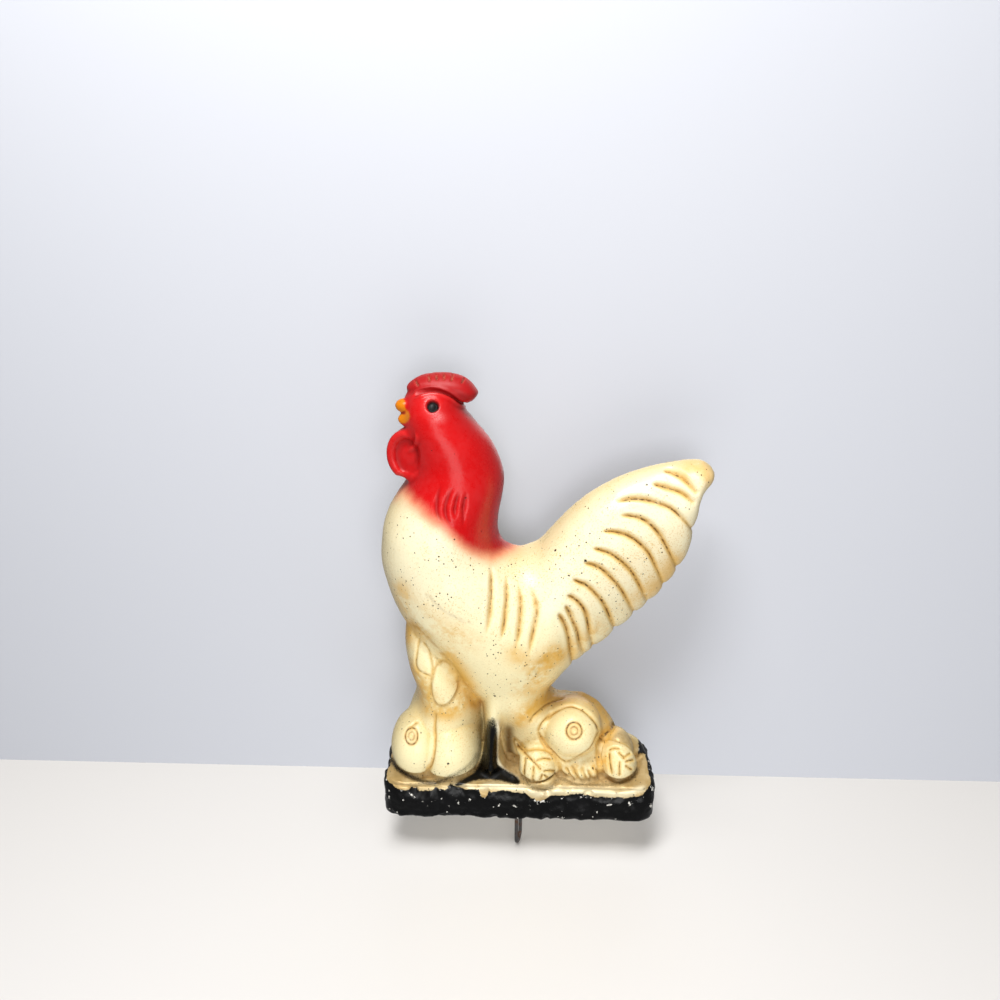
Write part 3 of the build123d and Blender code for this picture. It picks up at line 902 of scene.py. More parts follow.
class Carving:
    """What the tools took off or laid on, and the dirt that the cuts hold."""

    def __init__(self, skin):
        self.skin = skin
        self.amount = np.zeros(len(skin.points))
        self.dirt = np.zeros(len(skin.points))
        self.halo = np.zeros(len(skin.points))

    def groove(self, line_px, half_width, depth, dirt, lip, swell, tail):
        """A cut that tapers at both ends, with a hand's unevenness: two slow sines along its length."""
        distance, along = self.skin.line(line_px)
        taper = ease(-0.02, tail, along) * ease(-0.02, tail, 1 - along)
        start = line_px[0]
        hand = 1 + 0.18 * np.sin(along * 9.0 + start[0]) + 0.10 * np.sin(along * 23.0 + start[1])
        self.cut_bell(distance, half_width * (0.6 + 0.4 * taper), depth, taper, hand, lip, swell, dirt)

    def open_groove(self, line_px, half_width, depth, dirt, lip, swell):
        """A groove that runs out over the edge of the form at its far end."""
        distance, along = self.skin.line(line_px)
        taper = ease(-0.02, 0.14, along) * (0.45 + 0.55 * ease(0.0, 0.16, 1 - along))
        start = line_px[0]
        hand = 1 + 0.16 * np.sin(along * 8.0 + start[0]) + 0.10 * np.sin(along * 21.0 + start[1])
        width = half_width * (0.55 + 0.45 * ease(0.0, 0.35, along) * ease(-0.3, 0.4, 1 - along))
        self.cut_bell(distance, width, depth, taper, hand, lip, swell, dirt)

    def cut_bell(self, distance, half_width, depth, taper, hand, lip, swell, dirt):
        """The profile that the grooves share: a bell and a wide, weaker one are sunk, with a raised
        shoulder to each side, a narrow line of dirt and a wide stain."""
        shoulder = bell(distance - 2.1 * half_width, half_width)
        sunk = bell(distance, half_width) * hand + swell * bell(distance, 3.2 * half_width)
        self.amount += depth * taper * (lip * shoulder - sunk)
        self.dirt = np.maximum(self.dirt, dirt * taper * bell(distance, 0.5 * half_width))
        self.halo = np.maximum(self.halo, dirt * taper * bell(distance, 1.3 * half_width))

    def pad(self, outline_px, height, edge, moat):
        """A raised leaf: a smooth step up inside the outline, domed, with a shallow moat round it."""
        inside = self.skin.outline(outline_px)
        step = ease(-edge / 2, edge, inside)
        dome = 0.35 * (1 - np.exp(-np.maximum(inside, 0) / (3 * edge)))
        self.amount += height * (step * (1 + dome) - moat * bell(inside + edge, edge))
        self.dirt = np.maximum(self.dirt, 0.45 * bell(inside + 0.5 * edge, 0.5 * edge))
        self.halo = np.maximum(self.halo, 0.8 * bell(inside + 0.9 * edge, 1.2 * edge))

    def apply(self):
        """Works all the cuts into the skin at once."""
        self.skin.push(self.amount)


def carve_lines(cut):
    """All the strokes, the grooves that run out over an edge, and the raised leaves."""
    for lines, half_width, depth, *shares in STROKES:
        for line in lines:
            cut.groove(line, half_width * MM, depth * MM, *shares)
    for lines, half_width, depth, *shares in RUN_OUT_STROKES:
        for line in lines:
            cut.open_groove(line, half_width * MM, depth * MM, *shares)
    for outline, height, moat in RAISED_LEAVES:
        cut.pad(outline, height * MM, LEAF_EDGE, moat)


def round_lobes(skin, cut):
    """Full lobes along the tail's edge, between the ends of its lines."""
    nearest = np.minimum.reduce([skin.line(line)[0] for line in TAIL_LINES_PX])
    at_ends = skin.band([line[-1] for line in TAIL_LINES_PX], LOBE_REACH)
    cut.amount += LOBE_HEIGHT * at_ends * (1 - bell(nearest, LOBE_VALLEY))


def dish_wattle(skin, cut):
    """The hollow inside the wattle's rolled rim."""
    cut.amount -= DISH_DEPTH * ease(1.0, 0.55, skin.oval(WATTLE_DISH_PX, WATTLE_DISH_HALF_PX))


def ring_blossoms(skin, cut):
    """The blossom end of each fruit: an outer ring, a fainter inner one and a dimple."""
    for centre, halves in BLOSSOM_ENDS_PX:
        away = skin.oval(centre, halves)
        for place, half_width, depth, dirt in BLOSSOM_RINGS:
            ring = bell(away - place, half_width)
            cut.amount -= depth * MM * ring
            cut.dirt = np.maximum(cut.dirt, dirt * ring)
        cut.halo = np.maximum(cut.halo, 0.7 * ease(1.5, 0.9, away))


def shape_plinth(skin, sizes, cut):
    """A hand-cast plinth: long waves, lumps and knocked edges on its front, sides and ledge."""
    points, height = skin.points, sizes.base_height
    up = points[:, 2] - UNDERSIDE_Z
    low = ease(height + 2 * MM, height - 3 * MM, up)
    waves = sum(
        size * MM * rough_noise(points, length * MM, seed, layers)
        for size, length, seed, layers in PLINTH_WAVES
    )
    knocks = -KNOCK_DEPTH * ease(0.35, 0.75, soft_noise(points, 6.5 * MM, seed=21))
    edges = bell(up - height + 3 * MM, 3.5 * MM) + bell(up - 2.5 * MM, 3 * MM)
    half = sizes.base_width / 2
    ends = END_SWELL * ease(half - 14 * MM, half, np.abs(points[:, 0] - MIDDLE_X))
    front = ease(-0.2, -0.7, skin.normals[:, 1])
    bevel = -BEVEL_DEPTH * front * ease(13 * MM, 25 * MM, up) * ease(31 * MM, 26 * MM, up)
    cut.amount += low * (waves + ends + knocks * np.minimum(edges, 1)) + bevel


def dent_bird(skin, cut):
    """Slow unevenness of a hand-finished casting over the bird and the fruit."""
    high = ease(24 * MM, 32 * MM, skin.points[:, 2] - UNDERSIDE_Z)
    cut.amount += high * BIRD_DENT * rough_noise(skin.points, 22 * MM, seed=5, layers=2)


def sink_eye(skin, sizes, cut):
    """A round socket with a bead in it, a half ball. Returns how much of the black paint lies there."""
    radius = sizes.eye_radius
    away = np.linalg.norm(skin.pixels - EYE_PX, axis=1) / skin.scale
    inside = ease(radius + 0.5 * MM, radius - 0.9 * MM, away)
    bead = np.sqrt(np.maximum(1 - (away / (0.72 * radius)) ** 2, 0))
    cut.amount += BEAD_RISE * bead - SOCKET_DEPTH * inside
    ragged = away + 0.45 * MM * soft_noise(skin.points, 2.6 * MM, seed=71)
    return ease(radius + 0.5 * MM, radius - 0.5 * MM, ragged)


def open_pocket(skin):
    """Presses the hanger's pocket into the flat back: inside a rounded rectangle round the staple,
    the depth rises with the distance from its outline over a short drafted wall."""
    low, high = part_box("hanger_staple")
    centre = np.array(((low.x + high.x) / 2, (low.z + high.z) / 2))
    straight = (POCKET_HALF_WIDTH - POCKET_CORNER, POCKET_HALF_HEIGHT - POCKET_CORNER)
    offset = np.abs(skin.points[:, (0, 2)] - centre) - straight
    outside = np.linalg.norm(np.maximum(offset, 0), axis=1) + np.minimum(offset.max(axis=1), 0)
    outside -= POCKET_CORNER
    inside = skin.on_back & (outside < 0)
    sunk = POCKET_DEPTH * ease(0, POCKET_DRAFT, -outside) * inside
    sunk *= 1 + 0.05 * rough_noise(skin.points, 7 * MM, seed=31)
    skin.points[:, 1] -= sunk
    return inside


def blend_joints(skin):
    """Weights that round the hollows where the bird, leg, leaves and fruit run into each other."""
    weight = np.zeros(len(skin.points))
    for centre, reach in SOFT_JOINTS_PX:
        away = np.linalg.norm(skin.pixels - centre, axis=1)
        weight = np.maximum(weight, ease(reach, reach * 0.35, away))
    return weight * ~skin.on_back


def skin_mesh(sizes):
    """One closed skin round all the forms, in even faces."""
    return worked_mesh(all_forms(sizes), "REMESH", mode="VOXEL", voxel_size=sizes.skin_grain)


def thin_mesh(mesh, most):
    """The same skin with fewer faces where it is flat, so that it stays below a number of triangles."""
    triangles = len(mesh.loops) - 2 * len(mesh.polygons)
    return worked_mesh(mesh, "DECIMATE", ratio=min(1.0, most / triangles))


def worked_mesh(mesh, kind, **settings):
    """A new mesh: the given one after one modifier."""
    rough = bpy.data.objects.new("rough", mesh)
    bpy.context.scene.collection.objects.link(rough)
    modifier = rough.modifiers.new("work", kind)
    for name, value in settings.items():
        setattr(modifier, name, value)
    bpy.context.view_layer.update()
    graph = bpy.context.evaluated_depsgraph_get()
    made = bpy.data.meshes.new_from_object(rough.evaluated_get(graph))
    bpy.data.objects.remove(rough)
    bpy.data.meshes.remove(mesh)
    return made


def paint_masks(skin, sizes, cut, eye):
    """Where each paint lies, as numbers on the skin's points: soft edges from 0 to 1, hard edges as
    distances in millimetres that the material breaks up."""
    grain = rough_noise(skin.points, 9 * MM, seed=41)
    across, down = skin.pixels.T
    up = skin.points[:, 2] - UNDERSIDE_Z
    hollow = hollowness(skin)
    red = red_mask(skin, grain)
    stains = [weight * skin.band(line, STAIN_REACH) for weight, lines in STAINS for line in lines]
    pitted = sum(bell(skin.oval(centre, halves), 1.0) for centre, halves in PITTED_PX)
    in_front = ease(4.0 * MM, 6.5 * MM, BACK_Y - skin.points[:, 1])
    ledge = ease(sizes.base_height + 3 * MM, sizes.base_height + 1.0 * MM, up + 0.6 * MM * grain)
    return {
        "red": red,
        "beak": ease(-0.6 * MM, 0.7 * MM, skin.outline(BEAK_PX) + 0.3 * MM * grain) * in_front,
        "comb": ease(-0.8 * MM, 0.8 * MM, skin.outline(COMB_AREA_PX)),
        "eye": eye * (skin.facing > 0),
        "scuff": bell(skin.oval(SCUFF_PX, SCUFF_HALF_PX), 1.0),
        "cut": cut.dirt,
        "halo": cut.halo,
        "hollow": np.clip(hollow, 0, 1),
        # Convex places: painted highlight on the red there, and chipped paint near them on the plinth.
        "ridge": np.clip(-hollow, 0, 1),
        # Painted shade: 1 where the surface turns away from the front, 0 where it faces it.
        "side": ease(0.92, 0.10, -skin.normals[:, 1]),
        "aged": ease(575, 680, down) * ease(22 * MM, 30 * MM, up),
        "stain": np.minimum(np.maximum.reduce(stains), 1),
        # Painted shade: a band along the recess beside the leg.
        "painted_recess_shade": skin.band(RECESS_PX, 3.2 * MM),
        # Painted highlight: a band along the raised edge beside the leg.
        "edge_highlight": skin.band(WHITE_EDGE_PX, 1.5 * MM),
        "crackle": skin.band(CRACKLE_PX, 0.5 * MM),
        # Painted highlight: a band along the ledge's lip.
        "lip": skin.band(LIP_PX, 2.4 * MM) * ease(410, 500, across),
        "pitted": 0.30 - 0.6 * red + 0.35 * np.minimum(pitted, 1),
        # The leg's black paint together with painted shadows under the fruit and beside the leg.
        "leg_black_and_shadow": leg_black_and_shadow_mask(skin),
        "chip": chip_mask(skin),
        "plinth": plinth_mask(skin, up),
        "ledge": np.maximum(ledge, ease(-1.5 * MM, 1.0 * MM, skin.outline(MOUND_PX))),
    }


def red_mask(skin, grain):
    """The airbrushed red: full above its edge line, fading out below it over a wide mist."""
    across, down = skin.pixels.T
    edge = np.interp(across, *np.array(RED_EDGE_PX).T)
    spread = np.interp(across, (405, 455), (1.5, 0.9))
    above = (edge - down) / skin.scale / spread
    return ease(-13.0 * MM, 6.0 * MM, above + 1.4 * MM * grain) ** 1.3 * ease(530, 505, across)


def leg_black_and_shadow_mask(skin):
    """The black paint misted on the leg and on the ledge at its foot, and painted shadows under the fruit
    and in the gap beside the leg.
    """
    across, down = skin.pixels.T
    leg_black_and_shadow = ease(-3.2 * MM, 1.4 * MM, skin.outline(LEG_PAINT_PX)) * (0.55 + 0.45 * ease(715, 745, down))
    for line, half_width, weights in SHADES:
        weight = np.interp(across, *np.array(weights).T)
        leg_black_and_shadow = np.maximum(leg_black_and_shadow, weight * skin.band(line, half_width * MM))
    return leg_black_and_shadow


def chip_mask(skin):
    """The plinth's chips in the photograph: 1 in the middle of an oval, 0 on it, negative outside."""
    chips = [1 - skin.oval(chip[:2], chip[2:]) for chip in PLINTH_CHIPS_PX]
    return np.where(skin.facing > 0, np.maximum.reduce(chips), FAR_OUT).clip(min=FAR_OUT)


def plinth_mask(skin, up):
    """Millimetres below the ragged edge of the plinth's black paint, which covers both ends higher up."""
    across = (skin.points[:, 0] - MIDDLE_X) / MM
    brim = np.interp(across, *np.array(BRIM_MM).T) - 1.1 * rough_noise(skin.points, 9 * MM, seed=51)
    sideways = 10.0 * (np.abs(skin.normals[:, 0]) - 0.62)
    column = skin.pixels[:, 0]
    at_left = (column < LEFT_END_PX) & (up < LEFT_END_HEIGHT)
    at_right = (column > RIGHT_END_PX) & (up < RIGHT_END_HEIGHT)
    return np.maximum(brim - up / MM, np.where(at_left | at_right, sideways, FAR_OUT))


def hollowness(skin):
    """How hollow the skin is: the smoothed height of the neighbours over each point, per grain."""
    rise = ((skin.spread(skin.points) - skin.points) * skin.normals).sum(axis=1)
    for _ in range(6):
        rise = 0.5 * rise + 0.5 * skin.spread(rise)
    return rise / (0.055 * skin.grain)


def whole_faces(mesh, chosen):
    """1 for each face whose points are all chosen, and 0 for the others."""
    corners = np.zeros(len(mesh.loops), np.int32)
    mesh.loops.foreach_get("vertex_index", corners)
    starts = np.zeros(len(mesh.polygons), np.int32)
    mesh.polygons.foreach_get("loop_start", starts)
    return np.minimum.reduceat(chosen[corners].astype(np.int32), starts)


def store_masks(mesh, masks):
    """Writes each mask as a named attribute of the mesh's points."""
    for name, values in masks.items():
        layer = mesh.attributes.new(name, "FLOAT", "POINT")
        layer.data.foreach_set("value", values.astype(np.float32))


# Materials


class Tree:
    """A material's nodes, added by kind and wired by name."""

    def __init__(self, tree):
        self.tree = tree

    def add(self, kind, settings=None, **inputs):
        """A node with its settings, and its inputs as values or as other nodes' outputs."""
        made = self.tree.nodes.new(kind)
        for name, value in (settings or {}).items():
            setattr(made, name, value)
        for name, value in inputs.items():
            self.feed(made.inputs[name.replace("_", " ")], value)
        return made

    def feed(self, socket, value):
        """Links a socket, or sets its value."""
        if isinstance(value, bpy.types.NodeSocket):
            self.tree.links.new(value, socket)
        elif hasattr(value, "__len__") and socket.type == "RGBA" and len(value) == 3:
            socket.default_value = (*value, 1.0)
        else:
            socket.default_value = value

    def mask(self, name):
        """The value of one of the skin's attributes."""
        return self.add("ShaderNodeAttribute", {"attribute_name": name}).outputs["Fac"]

    def math(self, operation, first, second=0.0, third=0.0, clamp=False):
        """One step of arithmetic."""
        made = self.tree.nodes.new("ShaderNodeMath")
        made.operation, made.use_clamp = operation, clamp
        for socket, value in zip(made.inputs, (first, second, third)):
            self.feed(socket, value)
        return made.outputs[0]

    def times(self, first, second):
        """The product of two values."""
        return self.math("MULTIPLY", first, second)

    def between(self, value, low, high, to_low=0.0, to_high=1.0):
        """A value carried from one range to another with a smooth step."""
        ranges = {"Value": value, "From_Min": low, "From_Max": high, "To_Min": to_low, "To_Max": to_high}
        made = self.add("ShaderNodeMapRange", {"interpolation_type": "SMOOTHSTEP"}, **ranges)
        return made.outputs["Result"]

    def mix(self, factor, first, second):
        """Two colours mixed by a factor."""
        made = self.tree.nodes.new("ShaderNodeMix")
        made.data_type = "RGBA"
        self.feed(made.inputs["Factor"], factor)
        colours = [socket for socket in made.inputs if socket.type == "RGBA"]
        self.feed(colours[0], first)
        self.feed(colours[1], second)
        return [socket for socket in made.outputs if socket.type == "RGBA"][0]

    def coat(self, colour, amount, share, tone_name):
        """A colour under a coat of a named tone, whose amount is taken times a share."""
        return self.mix(self.times(amount, share), colour, tone(tone_name))

    def noise(self, scale, detail=3.0, rough=0.55):
        """Noise in the object's own coordinates."""
        settings = {"Scale": scale, "Detail": detail, "Roughness": rough}
        return self.add("ShaderNodeTexNoise", None, Vector=self.place(), **settings).outputs["Fac"]

    def place(self):
        """The object's own coordinates."""
        return self.add("ShaderNodeTexCoord").outputs["Object"]


def new_group(name, output, **inputs):
    """A node group with one output value and its inputs' usual values: the tree to add to, the node
    that holds the inputs, and the socket that takes the result."""
    tree = bpy.data.node_groups.new(name, "ShaderNodeTree")
    for label, value in inputs.items():
        socket = tree.interface.new_socket(label, in_out="INPUT", socket_type="NodeSocketFloat")
        socket.default_value = value
    tree.interface.new_socket(output, in_out="OUTPUT", socket_type="NodeSocketFloat")
    given = tree.nodes.new("NodeGroupInput")
    return Tree(tree), given.outputs, tree.nodes.new("NodeGroupOutput").inputs[output]


def pinhole_group():
    """Small dark pits of uneven size: near the points of a cell pattern, in a share of the cells."""
    work, given, result = new_group("pinholes", "Pits", Scale=260.0, Share=0.3, Size=0.14)
    cells = work.add("ShaderNodeTexVoronoi", None, Vector=work.place(), Scale=given["Scale"])
    picked = work.add("ShaderNodeSeparateColor", None, Color=cells.outputs["Color"])
    wanted = work.math("LESS_THAN", picked.outputs["Red"], given["Share"])
    size = work.times(given["Size"], work.between(picked.outputs["Green"], 0.3, 1.0, 0.35, 1.0))
    away = work.math("SUBTRACT", cells.outputs["Distance"], 0.10)
    ragged = work.math("MULTIPLY_ADD", work.noise(1300.0, 2.0), 0.20, away)
    near = work.between(ragged, size, work.times(size, 0.55))
    work.feed(result, work.times(near, wanted))
    return work.tree


def mottle_group():
    """Slow and fine unevenness of a painted or weathered surface, around one half."""
    work, given, result = new_group("mottle", "Value", Slow=30.0, Fine=240.0)
    slow, fine = work.noise(given["Slow"], 4.0), work.noise(given["Fine"], 5.0, 0.62)
    work.feed(result, work.math("MULTIPLY_ADD", slow, 0.6, work.times(fine, 0.4)))
    return work.tree


def use_group(work, tree, output, **inputs):
    """A group placed in a material with its own values."""
    made = work.tree.nodes.new("ShaderNodeGroup")
    made.node_tree = tree
    for name, value in inputs.items():
        work.feed(made.inputs[name], value)
    return made.outputs[output]


def new_material(name):
    """A material with only its shader and output, and the tree to add to."""
    made = bpy.data.materials.new(name)
    made.use_nodes = True
    shader = made.node_tree.nodes["Principled BSDF"]
    return made, Tree(made.node_tree), shader


def set_bump(work, shader, height, strength):
    """Unevenness too fine for the mesh, from a height in metres."""
    bump = work.add("ShaderNodeBump", None, Strength=strength, Distance=1.0, Height=height)
    work.feed(shader.inputs["Normal"], bump.outputs["Normal"])


def aged_ivory(work, paints, spots, slow):
    """Ivory paint, yellowed low down, with painted shade at the sides that turn away from the front, ochre
    in the hollows, dirt in the cuts and painted shade in the recess beside the leg.
    """
    cut = work.mask("cut")
    warm = tuple(0.865 * ivory + 0.135 * ochre for ivory, ochre in zip(paints.ivory, paints.ochre))
    colour = work.mix(work.between(slow, 0.45, 0.68), tuple(paints.ivory), warm)
    colour = work.coat(colour, work.mask("aged"), 0.55, "aged_ivory")
    # Painted shade: darker and warmer at the sides that turn away from the front.
    colour = work.coat(colour, work.mask("side"), 0.65, "painted_side_shade")
    stain = work.times(work.mask("stain"), work.between(spots, 0.34, 0.56))
    colour = work.coat(colour, stain, 0.95, "stain")
    wash = work.times(work.mask("hollow"), work.between(spots, 0.25, 0.6, 0.4, 1.0))
    colour = work.coat(colour, wash, 0.62, "wash")
    colour = work.coat(colour, work.mask("halo"), work.between(spots, 0.3, 0.58, 0.25, 0.75), "halo")
    specks = work.between(work.noise(1000.0, 2.0, 0.6), 0.53, 0.67, 0.0, 0.62)
    colour = work.coat(colour, specks, work.between(slow, 0.42, 0.62, 0.25, 1.0), "speck")
    grain = work.times(cut, work.between(work.noise(260.0, 3.0, 0.6), 0.34, 0.62, 0.45, 1.0))
    colour = work.coat(colour, grain, 0.92, "groove_dirt")
    flecks = work.between(work.noise(420.0, 4.0, 0.7), 0.47, 0.58)
    flecks = work.times(work.between(cut, 0.4, 0.9), flecks)
    colour = work.coat(colour, flecks, 0.85, "groove_fleck")
    # Painted shade darkens the recess beside the leg.
    return work.coat(colour, work.mask("painted_recess_shade"), 0.9, "painted_recess_shade")


def airbrushed_red(work, colour, paints, spots, fine):
    """Red over the ivory: crimson in the hollows, crimson painted shade at the sides that turn away from
    the front, a painted highlight of lighter red on the ridges, darker on the comb, with worn notches
    there, and a mist of stipples along its edge."""
    red, cut, comb = work.mask("red"), work.mask("cut"), work.mask("comb")
    crimson = tuple(part * share for part, share in zip(paints.red, CRIMSON_SHARES))
    paint = work.mix(work.between(spots, 0.44, 0.68), tuple(paints.red), tone("bright_red"))
    deep = work.math("ADD", work.mask("hollow"), cut, clamp=True)
    # Crimson in the hollows and cuts, and crimson painted shade at the sides that turn away from the
    # front.
    for amount, share in ((deep, 0.8), (work.mask("side"), 0.6)):
        paint = work.mix(work.times(amount, share), paint, crimson)
    # Painted highlight: the ridges of the red are lightened.
    paint = work.coat(paint, work.mask("ridge"), 0.12, "painted_highlight_red")
    paint = work.coat(paint, comb, 0.75, "comb_red")
    paint = work.coat(paint, work.times(comb, cut), 0.9, "comb_notch")
    worn = work.times(work.times(comb, work.mask("halo")), work.between(fine, 0.50, 0.58))
    paint = work.coat(paint, worn, 0.4, "comb_wear")
    mist = work.times(red, work.math("SUBTRACT", 1.0, red))
    colour = work.coat(colour, mist, 3.0, "red_mist")
    stippled = work.math("ADD", red, work.math("MULTIPLY_ADD", fine, 0.24, -0.12))
    colour = work.mix(work.between(stippled, 0.04, 0.96), colour, paint)
    return work.coat(colour, work.mask("scuff"), work.between(fine, 0.35, 0.6, 0.1, 0.5), "scuff")


def worn_gold(work, colour, paints, spots, fine):
    """Gold on the ledge, dirty in specks, with a painted highlight along its lip and a painted highlight
    on the edge beside the leg.
    """
    gold = work.mix(work.between(spots, 0.42, 0.66), tuple(paints.gold), tone("pale_gold"))
    gold = work.coat(gold, work.between(fine, 0.56, 0.7), 0.45, "gold_dirt")
    colour = work.mix(work.mask("ledge"), colour, gold)
    # Painted highlight along the ledge's lip, broken up by the spots.
    lip = work.times(work.mask("lip"), work.between(spots, 0.36, 0.50))
    colour = work.coat(colour, lip, 0.95, "painted_lip_highlight")
    # Painted highlight on the raised edge beside the leg.
    return work.coat(colour, work.mask("edge_highlight"), 0.85, "painted_edge_highlight")


def plinth_chips(work, plinth):
    """Where the black paint is chipped: at the marked chips, on knocked edges and near the brim."""
    near_edge = work.between(work.mask("ridge"), 0.15, 0.7, 0.0, 0.10)
    near_brim = work.between(work.mask("plinth"), 9.0, 0.0, 0.0, 0.04)
    loose = work.math("ADD", work.math("ADD", work.noise(260.0, 4.0, 0.7), near_edge), near_brim)
    marked = work.math("SUBTRACT", work.mask("chip"), 2.25)
    marked = work.math("MULTIPLY_ADD", work.noise(600.0, 4.0, 0.75), 3.6, marked)
    chips = work.math("MAXIMUM", work.between(loose, 0.735, 0.75), work.between(marked, 0.1, 0.22))
    return work.times(chips, plinth)


def paint_pits(work, pinholes):
    """Small and large pinholes, with more of them where the paint is pitted."""
    pitted = work.math("ADD", work.noise(38.0, 3.0), work.mask("pitted"))
    pitted = work.between(pitted, 0.62, 1.10, 0.015, 0.9)
    small = use_group(work, pinholes, "Pits", Scale=460.0, Share=pitted, Size=0.25)
    large = use_group(work, pinholes, "Pits", Scale=110.0, Share=work.times(pitted, 0.4), Size=0.12)
    return work.math("MAXIMUM", small, large)


def painted_plaster(paints, pinholes, mottle):
    """Ivory, red, black and gold paint over plaster, with dirt in the cuts, pinholes and chips, and
    painted shade, shadows and highlights.
    """
    made, work, shader = new_material("painted_plaster")
    spots = use_group(work, mottle, "Value", Slow=34.0, Fine=260.0)
    slow = use_group(work, mottle, "Value", Slow=16.0, Fine=90.0)
    fine = work.noise(1500.0, 3.0, 0.7)
    hollow, beak, eye = work.mask("hollow"), work.mask("beak"), work.mask("eye")
    ledge, black = work.mask("ledge"), tuple(paints.black)
    # Black for the leg's paint and for the painted shadows under the fruit and beside the leg, stippled at
    # the edges.
    stippled = work.math("ADD", work.mask("leg_black_and_shadow"), work.math("MULTIPLY_ADD", fine, 0.9, -0.45))
    leg_black_and_shadow = work.between(stippled, 0.22, 0.72)
    ragged = work.math("MULTIPLY_ADD", work.noise(420.0, 4.0, 0.65), 3.2, -1.6)
    plinth = work.between(work.math("ADD", work.mask("plinth"), ragged), -0.25, 0.25)
    chips = plinth_chips(work, plinth)
    pits = paint_pits(work, pinholes)

    colour = aged_ivory(work, paints, spots, slow)
    colour = airbrushed_red(work, colour, paints, spots, fine)
    colour = work.mix(beak, colour, tuple(paints.orange))
    colour = work.coat(colour, beak, work.between(hollow, 0.1, 0.8), "beak_shade")
    colour = worn_gold(work, colour, paints, spots, fine)
    colour = work.mix(leg_black_and_shadow, colour, black)
    worn_black = work.mix(work.between(spots, 0.5, 0.75), black, tone("worn_black"))
    colour = work.mix(plinth, colour, worn_black)
    colour = work.mix(chips, colour, tuple(paints.plaster))
    colour = work.coat(colour, pits, work.math("SUBTRACT", 1.0, plinth), "pinhole")
    colour = work.coat(colour, work.mask("crackle"), 0.45, "crackle")
    colour = work.coat(colour, eye, 1.0, "eye_black")
    work.feed(shader.inputs["Base Color"], colour)

    rough = work.between(spots, 0.3, 0.7, 0.21, 0.34)
    dirty = work.math("ADD", work.mask("cut"), hollow, clamp=True)
    dull = work.math("MAXIMUM", eye, work.mask("comb"))
    for amount, rise in ((dirty, 0.22), (ledge, 0.1), (chips, 0.5), (plinth, -0.10), (dull, 0.16)):
        rough = work.math("MULTIPLY_ADD", amount, rise, rough)
    work.feed(shader.inputs["Roughness"], work.math("MINIMUM", rough, 0.9))
    bronze = work.times(ledge, work.math("SUBTRACT", 1.0, work.math("MAXIMUM", plinth, leg_black_and_shadow)))
    work.feed(shader.inputs["Metallic"], work.times(bronze, 0.25))
    height = work.times(work.noise(150.0, 4.0, 0.5), 0.16 * MM)
    for amount, rise in ((work.noise(700.0, 3.0, 0.6), 0.10), (pits, -0.35), (chips, -0.4)):
        height = work.math("MULTIPLY_ADD", amount, rise * MM, height)
    set_bump(work, shader, height, 0.8)
    shader.inputs["Specular IOR Level"].default_value = 0.32
    return made


def bare_plaster(paints, pinholes, mottle):
    """The unpainted flat back and underside: chalky, troweled, with pits and grey handling marks."""
    made, work, shader = new_material("bare_plaster")
    slow = use_group(work, mottle, "Value", Slow=14.0, Fine=150.0)
    colour = work.mix(work.between(slow, 0.38, 0.66), tuple(paints.plaster), tone("old_plaster"))
    large = use_group(work, pinholes, "Pits", Scale=150.0, Share=0.35, Size=0.16)
    small = use_group(work, pinholes, "Pits", Scale=420.0, Share=0.4, Size=0.2)
    pits = work.math("MAXIMUM", large, small)
    colour = work.coat(colour, pits, 0.6, "plaster_pit")
    colour = work.coat(colour, work.between(work.noise(9.0, 3.0), 0.58, 0.74), 0.3, "hand_marks")
    work.feed(shader.inputs["Base Color"], colour)
    shader.inputs["Roughness"].default_value = 0.88
    stretched = work.add("ShaderNodeMapping", None, Vector=work.place(), Scale=(18.0, 18.0, 160.0))
    streaks = stretched.outputs["Vector"]
    trowel = work.add("ShaderNodeTexNoise", None, Vector=streaks, Scale=1.0, Detail=3.0)
    troweled = work.times(trowel.outputs["Fac"], 0.5 * MM)
    set_bump(work, shader, work.math("MULTIPLY_ADD", pits, -0.4 * MM, troweled), 0.9)
    return made


def worn_steel(mottle):
    """Old galvanised wire: dull grey metal with brown rust that gathers in patches."""
    made, work, shader = new_material("worn_steel_wire")
    spots = use_group(work, mottle, "Value", Slow=240.0, Fine=1600.0)
    rust = work.between(spots, 0.50, 0.62)
    work.feed(shader.inputs["Base Color"], work.mix(rust, tone("bare_steel"), tone("rust")))
    work.feed(shader.inputs["Metallic"], work.math("SUBTRACT", 1.0, work.times(rust, 0.75)))
    work.feed(shader.inputs["Roughness"], work.between(spots, 0.35, 0.7, 0.32, 0.72))
    set_bump(work, shader, work.times(spots, 0.12 * MM), 0.6)
    return made


def plain_stage(name, colour, roughness):
    """A plain surface that only the camera sees from its front, so that it shades nothing."""
    made, work, shader = new_material(name)
    work.feed(shader.inputs["Base Color"], colour)
    shader.inputs["Roughness"].default_value = roughness
    seen = work.add("ShaderNodeLightPath").outputs["Is Camera Ray"]
    front = work.math("SUBTRACT", 1.0, work.add("ShaderNodeNewGeometry").outputs["Backfacing"])
    clear = work.add("ShaderNodeBsdfTransparent")
    both = work.add("ShaderNodeMixShader")
    work.feed(both.inputs[0], work.times(seen, front))
    work.feed(both.inputs[1], clear.outputs[0])
    work.feed(both.inputs[2], shader.outputs[0])
    work.feed(made.node_tree.nodes["Material Output"].inputs["Surface"], both.outputs[0])
    return made


# Operators


